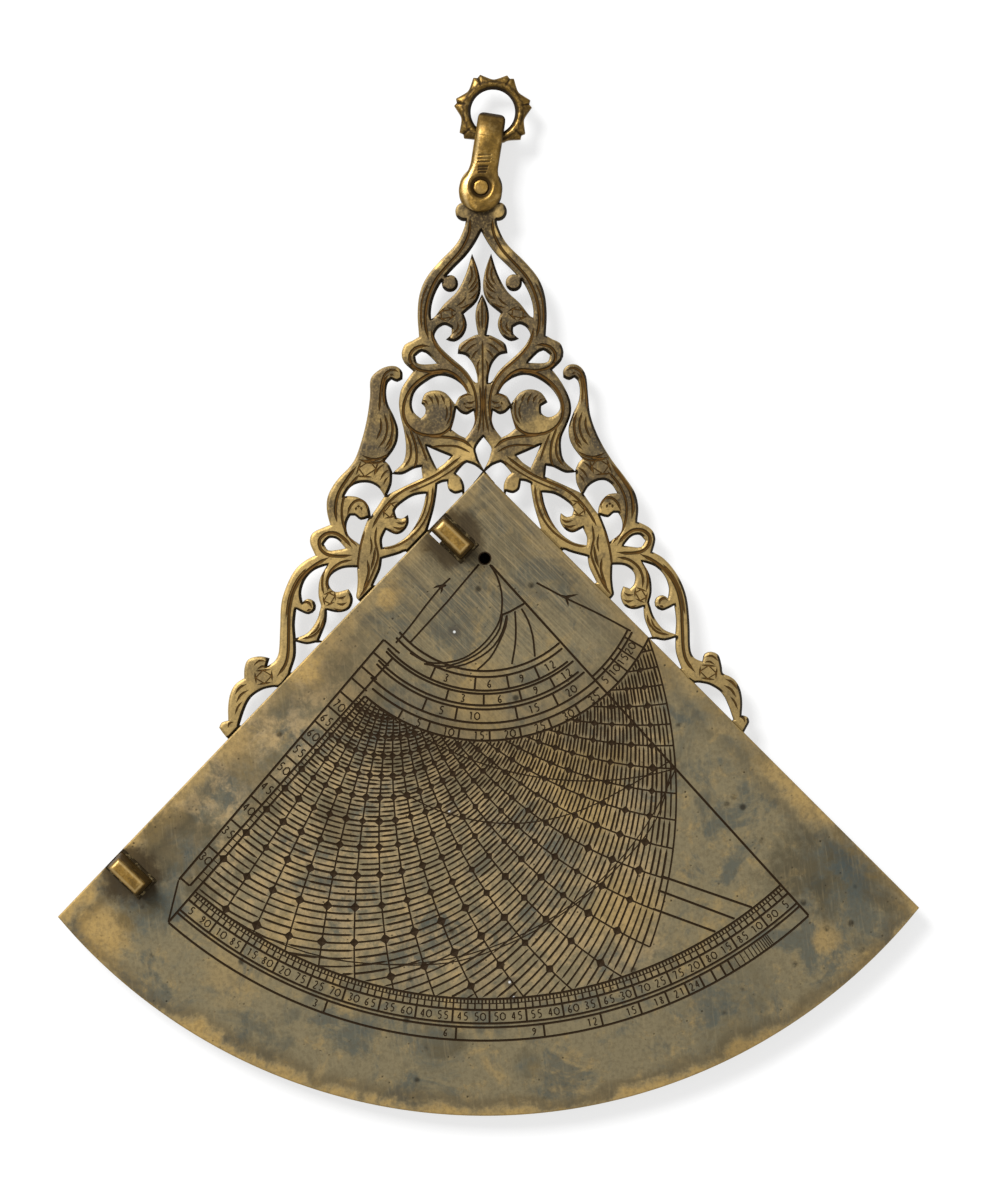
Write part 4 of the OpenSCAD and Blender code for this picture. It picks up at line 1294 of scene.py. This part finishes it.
def applied(piece):
    """Turns a piece with modifiers into a plain mesh."""
    bpy.context.view_layer.update()
    graph = bpy.context.evaluated_depsgraph_get()
    mesh = bpy.data.meshes.new_from_object(piece.evaluated_get(graph))
    piece.modifiers.clear()
    piece.data = mesh
    return piece


def add_number(mesh, name, values):
    """Stores a number at each vertex, for the materials."""
    stored = mesh.attributes.get(name) or mesh.attributes.new(name, "FLOAT", "POINT")
    stored.data.foreach_set("value", np.asarray(values, np.float32))


def vertex_places(mesh):
    places = np.zeros(len(mesh.vertices) * 3)
    mesh.vertices.foreach_get("co", places)
    return places.reshape(-1, 3)


def move_vertices(mesh, places):
    mesh.vertices.foreach_set("co", places.ravel())
    mesh.update()


def outwards(mesh):
    """Turns all faces outwards."""
    work = bmesh.new()
    work.from_mesh(mesh)
    bmesh.ops.recalc_face_normals(work, faces=work.faces)
    work.to_mesh(mesh)
    work.free()


class QUADRANT_OT_plate(bpy.types.Operator):
    """Engrave the quadrant's plate"""

    bl_idname = "quadrant.plate"
    bl_label = "Engrave plate"

    def execute(self, context):
        sizes = context.scene.quadrant_engraving
        sheet = Sheet(sizes.cut_slope)
        engrave_sky_grid(sheet, sizes)
        engrave_ecliptic(sheet, sizes)
        engrave_frame(sheet, sizes)
        engrave_bands(sheet, sizes)
        engrave_left_column(sheet, sizes)
        engrave_hours(sheet, sizes)
        engrave_right_lines(sheet, sizes)
        loops = [softened(loop, 25.0, 1.5) for loop in outline_loops("quadrant_plate", plate_front)]
        piece = relief_piece("engraved_plate", sheet, loops, plate_front, plate_back,
                             edge_round=0.4, edge_drop=0.2, rim_reach=1.6)
        paint(piece, plate_metal(context.scene.quadrant_colours))
        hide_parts("quadrant_plate")
        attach(piece, QUADRANT)
        return {"FINISHED"}


class QUADRANT_OT_throne(bpy.types.Operator):
    """Carve the pierced throne"""

    bl_idname = "quadrant.throne"
    bl_label = "Carve throne"

    def execute(self, context):
        sheet = Sheet(slope=0.9)
        carve_throne(sheet)
        loops = [softened(loop, 58.0) for loop in outline_loops("throne", throne_front)]
        piece = relief_piece("carved_throne", sheet, loops, throne_front, throne_back,
                             edge_round=0.9, edge_drop=0.4, rim_reach=1.0, lee=0.55)
        paint(piece, throne_metal(context.scene.quadrant_colours))
        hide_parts("throne")
        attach(piece, QUADRANT)
        return {"FINISHED"}


def ring_tree():
    """Double tips and a plain seat round a bored ring: a bent grid with an outline given by a rule."""
    tree = bpy.data.node_groups.new("chased_ring", "GeometryNodeTree")
    tree.interface.new_socket(name="Geometry", in_out="INPUT", socket_type="NodeSocketGeometry")
    places = 7
    first_degrees = 20.5
    seat_degrees = first_degrees + 5 * 360 / places
    sockets = (
        ("Bore radius", 5.55), ("Hollow radius", 8.1), ("Tip radius", 9.85), ("Thickness", 3.2),
        ("First tip", math.radians(first_degrees)), ("Tips", float(places)),
        ("Seat turn", math.radians(seat_degrees)),
    )
    for name, default in sockets:
        socket = tree.interface.new_socket(name=name, in_out="INPUT", socket_type="NodeSocketFloat")
        socket.default_value = default
    tree.interface.new_socket(name="Material", in_out="INPUT", socket_type="NodeSocketMaterial")
    tree.interface.new_socket(name="Geometry", in_out="OUTPUT", socket_type="NodeSocketGeometry")
    nodes = Nodes(tree)
    given = tree.nodes.new("NodeGroupInput")
    bore, hollow, tip, thick, first, tips, seat = (Value(nodes, given.outputs[i]) for i in range(1, 8))

    around = places * 44
    section = 28
    grid = nodes.add("GeometryNodeMeshGrid", None, {
        "Size X": 1.0, "Size Y": 1.0, "Vertices X": around + 1, "Vertices Y": section + 1})
    u, v, _ = nodes.apart(nodes.add("GeometryNodeInputPosition"))
    turn = (u + 0.5) * (2 * math.pi)
    lap = (v + 0.5) * (2 * math.pi)
    pitch = (2 * math.pi) / tips
    from_tip = (turn - first).math("PINGPONG", pitch * 0.5)
    tip_half = math.radians(5.5)
    slope = ((pitch * 0.5 - from_tip) / (pitch * 0.5 - tip_half)).low(1.0).high(0.0)
    notch = (1 - from_tip * (1 / tip_half)).high(0.0)
    rise = (tip - hollow) * slope ** 1.7 - notch * 0.55
    away = 1 - (turn - seat).cos()
    near_seat = nodes.ease(away, 0.045, 0.09)
    outer = hollow + rise * near_seat
    side = lap.cos()
    lift = lap.sin()
    across = 0.5 - 0.5 * side.sign() * abs(side) ** 0.72
    reach = bore + (outer - bore) * across
    opening = nodes.ease(reach, 5.5, 6.5, 0.30, 1.0)
    thin = nodes.ease(reach, 6.4, 9.9, 1.0, 0.72)
    half = thick * 0.5 * opening * thin
    chased = nodes.ease(from_tip, 0.05, 0.0) * near_seat * nodes.ease(reach, 6.9, 8.4)
    deep = lift.sign() * abs(lift) ** 0.55 * (half - chased * 0.28)
    groove = nodes.ease(reach, 6.9, 7.2) * nodes.ease(reach, 8.0, 7.6) * 0.75
    # Painted shade on the bore's wall, with dirt in the chased valleys and a dark band drawn as a groove,
    # all stored as "cut".
    dark = (nodes.ease(reach, 6.35, 6.0) + chased + groove).clamped()
    spot = nodes.add("ShaderNodeCombineXYZ", None, {
        0: reach * turn.cos() * MM, 1: deep * MM, 2: reach * turn.sin() * MM})
    shaped = nodes.add("GeometryNodeStoreNamedAttribute",
                       {"data_type": "FLOAT", "domain": "POINT"},
                       {"Geometry": grid, "Name": "cut", "Value": dark})
    shaped = nodes.add("GeometryNodeSetPosition", None, {"Geometry": shaped, "Position": spot})
    shaped = nodes.add("GeometryNodeMergeByDistance", None, {"Geometry": shaped, "Distance": 1e-6})
    shaped = nodes.add("GeometryNodeRealizeInstances", None, {0: shaped})
    shaped = nodes.add("GeometryNodeSetMaterial", None,
                       {"Geometry": shaped, "Material": Value(nodes, given.outputs[8])})
    nodes.add("NodeGroupOutput", None, {0: shaped})
    return tree


class QUADRANT_OT_ring(bpy.types.Operator):
    """Make the chased suspension ring"""

    bl_idname = "quadrant.ring"
    bl_label = "Chase ring"

    def execute(self, context):
        low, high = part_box("suspension_ring")
        colours = context.scene.quadrant_colours
        material = handled_metal("ring_brass", colours, dark_share=0.8, tone=0.72)
        piece = linked("chased_ring", bpy.data.meshes.new("chased_ring"))
        tree = ring_tree()
        modifier = piece.modifiers.new("Ring", "NODES")
        modifier.node_group = tree
        by_name = {s.name: s.identifier for s in tree.interface.items_tree if s.in_out == "INPUT"}
        modifier[by_name["Thickness"]] = (high.y - low.y) / MM
        modifier[by_name["Material"]] = material
        applied(piece)
        # From the middle of the ring to the shackle's hinge on its bar.
        ring_bar_r = 6.4
        upright = Vector((math.sin(lean), 0, math.cos(lean)))
        centre = bar_place + upright * ring_bar_r * MM
        # The grid turns from +X to +Z, so the first tip keeps its angle from the shackle's +X side.
        turn = Matrix.Rotation(lean, 4, "Y")
        piece.data.transform(Matrix.Translation(centre) @ turn)
        outwards(piece.data)
        piece.data.shade_smooth()
        paint(piece, material)
        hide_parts("suspension_ring")
        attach(piece, RING)
        return {"FINISHED"}


def worn_solid(node, name, voxel, rounds):
    """A CAD node's solid with all its edges worn round."""
    piece = merged_copy(node, name)
    remesh = piece.modifiers.new("Even", "REMESH")
    remesh.mode = "VOXEL"
    remesh.voxel_size = voxel
    smooth = piece.modifiers.new("Wear", "SMOOTH")
    smooth.factor = 0.5
    smooth.iterations = rounds
    return applied(piece)


class QUADRANT_OT_shackle(bpy.types.Operator):
    """Shape the worn shackle and its hammered rivet"""

    bl_idname = "quadrant.shackle"
    bl_label = "Shape shackle"

    def execute(self, context):
        piece = worn_solid("shackle", "worn_shackle", voxel=0.16 * MM, rounds=24)
        self.shape(piece.data)
        piece.data.shade_smooth()
        colours = context.scene.quadrant_colours
        paint(piece, handled_metal("shackle_brass", colours, dark_share=0.45, tone=0.9))
        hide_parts("shackle")
        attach(piece, SHACKLE)
        self.rivet(colours)
        return {"FINISHED"}

    def shape(self, mesh):
        """Crowns and notches the strap, and marks its dirt, its painted shade and its painted highlight.
        """
        places = vertex_places(mesh)
        c, s = math.cos(lean), math.sin(lean)
        dx = (places[:, 0] - rivet_place.x) / MM
        dy = (places[:, 1] - rivet_place.y) / MM
        dz = (places[:, 2] - rivet_place.z) / MM
        across = dx * c - dz * s
        along = dx * s + dz * c
        # The legs swell gently into the loop over the ring.
        stations = np.arange(6.0, 15.6, 0.12)
        face = (np.abs(dy) > 3.0) & (np.abs(across) < 1.5)
        level = [np.abs(dy)[face & (np.abs(along - spot) < 0.12)].mean() for spot in stations]
        rise = np.clip((stations - 7) / 6, 0, 1)
        wanted = 3.9 + 0.35 * rise * rise * (3 - 2 * rise)
        wanted *= np.sqrt(1 - (np.clip(stations - 13, 0, 9) / 6) ** 2)
        shift = np.interp(along, stations, wanted - level, 0, 0)
        shift *= np.clip((np.abs(dy) - 2.2) / 0.8, 0, 1)
        front_side = np.sign(dy)
        places[:, 1] += front_side * shift * MM
        outer = np.clip((np.abs(dy) - 2.2) / 1.6, 0, 1)
        # Half the strap's width: the round eye, the neck that sweeps in above it, the straight strap.
        neck_r = 9.0
        eye = np.sqrt(np.clip(29.2 - (along + 0.8) ** 2, 0.1, 99))
        neck = 12.43 - np.sqrt(np.clip(neck_r ** 2 - (along - 6.44) ** 2, 0, neck_r ** 2))
        half = np.where(along < 1.92, eye, np.where(along < 6.4, neck, 3.45))
        # The strap's face is crowned, with notches cut across it above the rivet.
        crown = 0.95 * np.clip(np.abs(across) / half, 0, 1) ** 2.4 * outer
        notch = np.zeros(len(dx))
        for place, width in ((3.8, 1.0), (4.5, 1.2), (5.2, 1.3), (6.4, 1.6), (7.2, 1.7), (8.1, 1.6)):
            aside = along - 0.2 * across - place
            notch += np.exp(-(aside / 0.2) ** 2) * (np.abs(across + 0.2) < width) * outer
        away = np.hypot(across, along)
        dish = np.clip((3.4 - away) / 1.0, 0, 1) * outer
        hollow = np.clip(1.15 - np.hypot(across / 2.9, (along - 1.6) / 4.6), 0, 0.3) / 0.3 * outer
        sunk = crown + 0.18 * notch + 0.2 * dish + 0.15 * hollow
        places[:, 1] -= front_side * sunk * MM
        low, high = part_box("shackle")
        places[:, 1] = np.clip(places[:, 1], low.y, high.y)
        move_vertices(mesh, places)
        # Painted shade: the top, where the loop turns away, the right edge, the inner faces and the eye's
        # hollow are painted dark. The notches hold dirt, and the ring about the rivet is a dark joint.
        top = 0.45 * np.clip((along - 12.5) / 2.5, 0, 1) + 0.5 * np.clip((along - 17.6) / 1.0, 0, 1)
        inner = 1.0 * (outer == 0) * (along < 12)
        round_rivet = np.clip((2.9 - away) / 0.8, 0, 1) * outer
        side = np.clip((across / half - 0.8) / 0.2, 0, 1) * 0.6
        dark = 0.65 * notch + top + inner + 0.85 * round_rivet + 0.45 * hollow + side
        add_number(mesh, "cut", np.clip(dark, 0, 1))
        # Painted highlight: a bright streak down the left of the strap's face.
        painted_highlight_streak = np.exp(-((across / half + 0.72) / 0.14) ** 2) * np.clip((17 - along) / 4, 0, 1) * outer
        add_number(mesh, "rim", 0.7 * painted_highlight_streak)

    def rivet(self, colours):
        """A turned pin with a hammered head at each end."""
        low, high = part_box("shackle_rivet")
        radius = (high.z - low.z) / 2
        sides = 36
        stations = ((0.0, 0.0), (0.35, 0.02), (0.72, 0.05), (0.9, 0.14), (0.97, 0.3), (1.0, 0.6))
        verts = []
        for end in (-1, 1):
            outer = low.y if end < 0 else high.y
            for share, drop in stations[1:] if end < 0 else stations[:0:-1]:
                for i in range(sides):
                    turn = 2 * math.pi * i / sides
                    # The hammered head is a little angular.
                    flat = 1 - 0.035 * abs(math.sin(3.5 * turn + 0.4)) * (share > 0.5)
                    reach = radius * share * flat
                    verts.append((rivet_place.x + reach * math.cos(turn), outer - end * drop * MM,
                                  rivet_place.z + reach * math.sin(turn)))
        rows = len(verts) // sides
        faces = []
        for row in range(rows - 1):
            for i in range(sides):
                k = (i + 1) % sides
                faces.append((row * sides + i, row * sides + k, (row + 1) * sides + k,
                              (row + 1) * sides + i))
        faces.append(tuple(range(sides)))
        faces.append(tuple((rows - 1) * sides + i for i in range(sides))[::-1])
        mesh = bpy.data.meshes.new("hammered_rivet")
        mesh.from_pydata(verts, [], faces)
        outwards(mesh)
        piece = linked("hammered_rivet", mesh)
        paint(piece, handled_metal("rivet_brass", colours, dark_share=0.4, tone=1.3))
        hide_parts("shackle_rivet")
        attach(piece, SHACKLE)


class QUADRANT_OT_sights(bpy.types.Operator):
    """Wear the edges of the sight vanes and roughen their solder"""

    bl_idname = "quadrant.sights"
    bl_label = "Finish sights"

    def execute(self, context):
        vane_brass = handled_metal("vane_brass", context.scene.quadrant_colours, dark_share=0.5,
                                   dullness=0.42)
        solder_gold = solder_metal()
        for which in ("upper", "lower"):
            for kind, material, slot, voxel, rounds in (
                (f"{which}_sight_vane", vane_brass, "vane", 0.2, 44),
                (f"{which}_vane_solder", solder_gold, "solder", 0.14, 14),
            ):
                piece = worn_solid(kind, f"worn_{kind}", voxel * MM, rounds)
                piece.data.shade_smooth()
                if slot == "vane":
                    self.shape(kind, piece.data)
                paint(piece, material)
                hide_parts(kind)
                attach(piece, QUADRANT)
        return {"FINISHED"}

    def shape(self, node, mesh):
        """Keeps the foot's corners square, and marks the top's darker middle, a painted highlight along
        the top's edge and painted shade on the sides.
        """
        low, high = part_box(node)
        centre = (low + high) / 2
        edge = np.array((math.sin(half_angle), math.cos(half_angle)))
        square = np.array((math.cos(half_angle), -math.sin(half_angle)))
        places = vertex_places(mesh)
        flat = (places[:, (0, 2)] - np.array((centre.x, centre.z))) / MM
        u = flat @ edge
        v = flat @ square
        foot = np.clip((places[:, 1] - plate_front) / MM + 1.0, 0, 1)
        u = np.sign(u) * np.minimum(np.abs(u) * (1 + 0.12 * foot), np.abs(u).max())
        v = np.sign(v) * np.minimum(np.abs(v) * (1 + 0.06 * foot), np.abs(v).max())
        spot = (edge * u[:, None] + square * v[:, None]) * MM
        places[:, 0] = spot[:, 0] + centre.x
        places[:, 2] = spot[:, 1] + centre.z
        move_vertices(mesh, places)
        aside = np.abs(u)
        length = np.abs(v)
        near_top = places[:, 1] < low.y + 1.6 * MM
        half_length = length[near_top].max()
        half_width = aside[near_top].max()
        inset = np.minimum(half_length - length, half_width - aside)
        on_top = np.clip((low.y + 1.3 * MM - places[:, 1]) / (0.9 * MM), 0, 1)
        # Painted highlight along the top's rounded edge.
        add_number(mesh, "rim", 0.7 * np.exp(-((inset - 0.65) / 0.4) ** 2) * on_top)
        # The sides are painted dark as shade, and the top's middle a little darker.
        darker_middle = 0.3 * np.clip((inset - 0.9) / 0.7, 0, 1)
        add_number(mesh, "cut", np.where(on_top > 0, darker_middle * on_top + 0.6 * (1 - on_top), 0.6))


class QUADRANT_OT_stage(bpy.types.Operator):
    """Set up the backdrop, the light and the camera"""

    bl_idname = "quadrant.stage"
    bl_label = "Set stage"

    def execute(self, context):
        self.backdrop()
        self.lights(context)
        self.camera(context)
        return {"FINISHED"}

    def backdrop(self):
        """A sheet of white paper just behind the object, which isn't seen from behind."""
        half = 1.6
        depth = 0.0075
        mesh = bpy.data.meshes.new("paper")
        corners = ((-half, -half), (half, -half), (half, half), (-half, half))
        mesh.from_pydata([(x, depth, z) for x, z in corners], [], [(0, 1, 2, 3)])
        paper = linked("paper", mesh)
        material, nodes, place = new_material("white_paper")
        path = nodes.add("ShaderNodeLightPath").socket.node
        camera_ray, glossy_ray, clear_ray = (Value(nodes, path.outputs[f"Is {kind} Ray"])
                                             for kind in ("Camera", "Glossy", "Transmission"))
        seen = (camera_ray + glossy_ray + clear_ray).clamped()
        # Painted shade: the paper is painted dark under the narrow cord hole, as the hole's shadow.
        x, _, z = nodes.apart(place)
        off_hole_shade = nodes.ease((x * x + z * z) ** 0.5, 0.002, 0.0024)
        white = nodes.mix(off_hole_shade, (0.01, 0.01, 0.01, 1), (0.85, 0.85, 0.85, 1))
        matt = nodes.add("ShaderNodeBsdfDiffuse", None, {"Color": white})
        glow = nodes.add("ShaderNodeEmission", None, {"Color": (1, 1, 1, 1), "Strength": 1.05})
        lit = nodes.add("ShaderNodeMixShader", None, {0: seen * off_hole_shade * 0.62, 1: matt, 2: glow})
        behind = nodes.add("ShaderNodeNewGeometry").socket.node
        clear = nodes.add("ShaderNodeBsdfTransparent")
        hidden = nodes.add("ShaderNodeMixShader", None,
                           {0: Value(nodes, behind.outputs["Backfacing"]), 1: lit, 2: clear})
        nodes.add("ShaderNodeOutputMaterial", None, {"Surface": hidden})
        paint(paper, material)

    def lights(self, context):
        world = bpy.data.worlds.new("room")
        context.scene.world = world
        world.use_nodes = True
        world.node_tree.nodes.clear()
        nodes = Nodes(world.node_tree)
        room = nodes.add("ShaderNodeBackground", None, {"Color": (1, 1, 1, 1), "Strength": 0.55})
        nodes.add("ShaderNodeOutputWorld", None, {"Surface": room})
        for name, place, size, power in (
            ("window", (-1.1, -2.1, 1.25), 0.9, 78.0),
            ("reflector", (1.2, -1.6, -0.4), 1.2, 4.0),
        ):
            lamp = bpy.data.lights.new(name, "AREA")
            lamp.size = size
            lamp.energy = power
            light = linked(name, lamp)
            light.location = place
            light.rotation_euler = (-Vector(place)).to_track_quat("-Z", "Y").to_euler()
        context.scene.view_settings.view_transform = "Standard"

    def camera(self, context):
        lens = bpy.data.cameras.new("photo_view")
        lens.sensor_fit = "HORIZONTAL"
        lens.sensor_width = 36.0
        lens.lens = 36.0 * camera_distance / photo_span
        lens.clip_start = 0.05
        lens.clip_end = 20.0
        camera = linked("photo_view", lens)
        turn = math.radians(roll_degrees)
        c, s = math.cos(turn), math.sin(turn)
        right = Vector((c, 0, -s))
        up = Vector((s, 0, c))
        back = right.cross(up)
        spot = Vector((view_centre[0] * MM, plate_front - camera_distance * MM, view_centre[1] * MM))
        camera.matrix_world = Matrix((
            (right.x, up.x, back.x, spot.x), (right.y, up.y, back.y, spot.y),
            (right.z, up.z, back.z, spot.z), (0, 0, 0, 1)))
        context.scene.camera = camera


class QUADRANT_PT_panel(bpy.types.Panel):
    """Steps and settings of the astrolabe quadrant"""

    bl_label = "Astrolabe quadrant"
    bl_idname = "QUADRANT_PT_panel"
    bl_space_type = "VIEW_3D"
    bl_region_type = "UI"
    bl_category = "Quadrant"

    def draw(self, context):
        for group in (context.scene.quadrant_engraving, context.scene.quadrant_colours):
            for name in group.__annotations__:
                self.layout.prop(group, name)
        for step in STEPS:
            self.layout.operator(step.bl_idname)


GROUPS = (EngravingSizes, FinishColours)
STEPS = (QUADRANT_OT_stage, QUADRANT_OT_plate, QUADRANT_OT_throne, QUADRANT_OT_ring, QUADRANT_OT_shackle,
         QUADRANT_OT_sights)


def register():
    for group in GROUPS + STEPS + (QUADRANT_PT_panel,):
        bpy.utils.register_class(group)
    bpy.types.Scene.quadrant_engraving = bpy.props.PointerProperty(type=EngravingSizes)
    bpy.types.Scene.quadrant_colours = bpy.props.PointerProperty(type=FinishColours)


def unregister():
    del bpy.types.Scene.quadrant_engraving
    del bpy.types.Scene.quadrant_colours
    for group in reversed(GROUPS + STEPS + (QUADRANT_PT_panel,)):
        bpy.utils.unregister_class(group)


def main():
    register()
    bpy.ops.quadrant.stage()
    bpy.ops.quadrant.plate()
    bpy.ops.quadrant.throne()
    bpy.ops.quadrant.ring()
    bpy.ops.quadrant.shackle()
    bpy.ops.quadrant.sights()


if __name__ == "__main__":
    main()
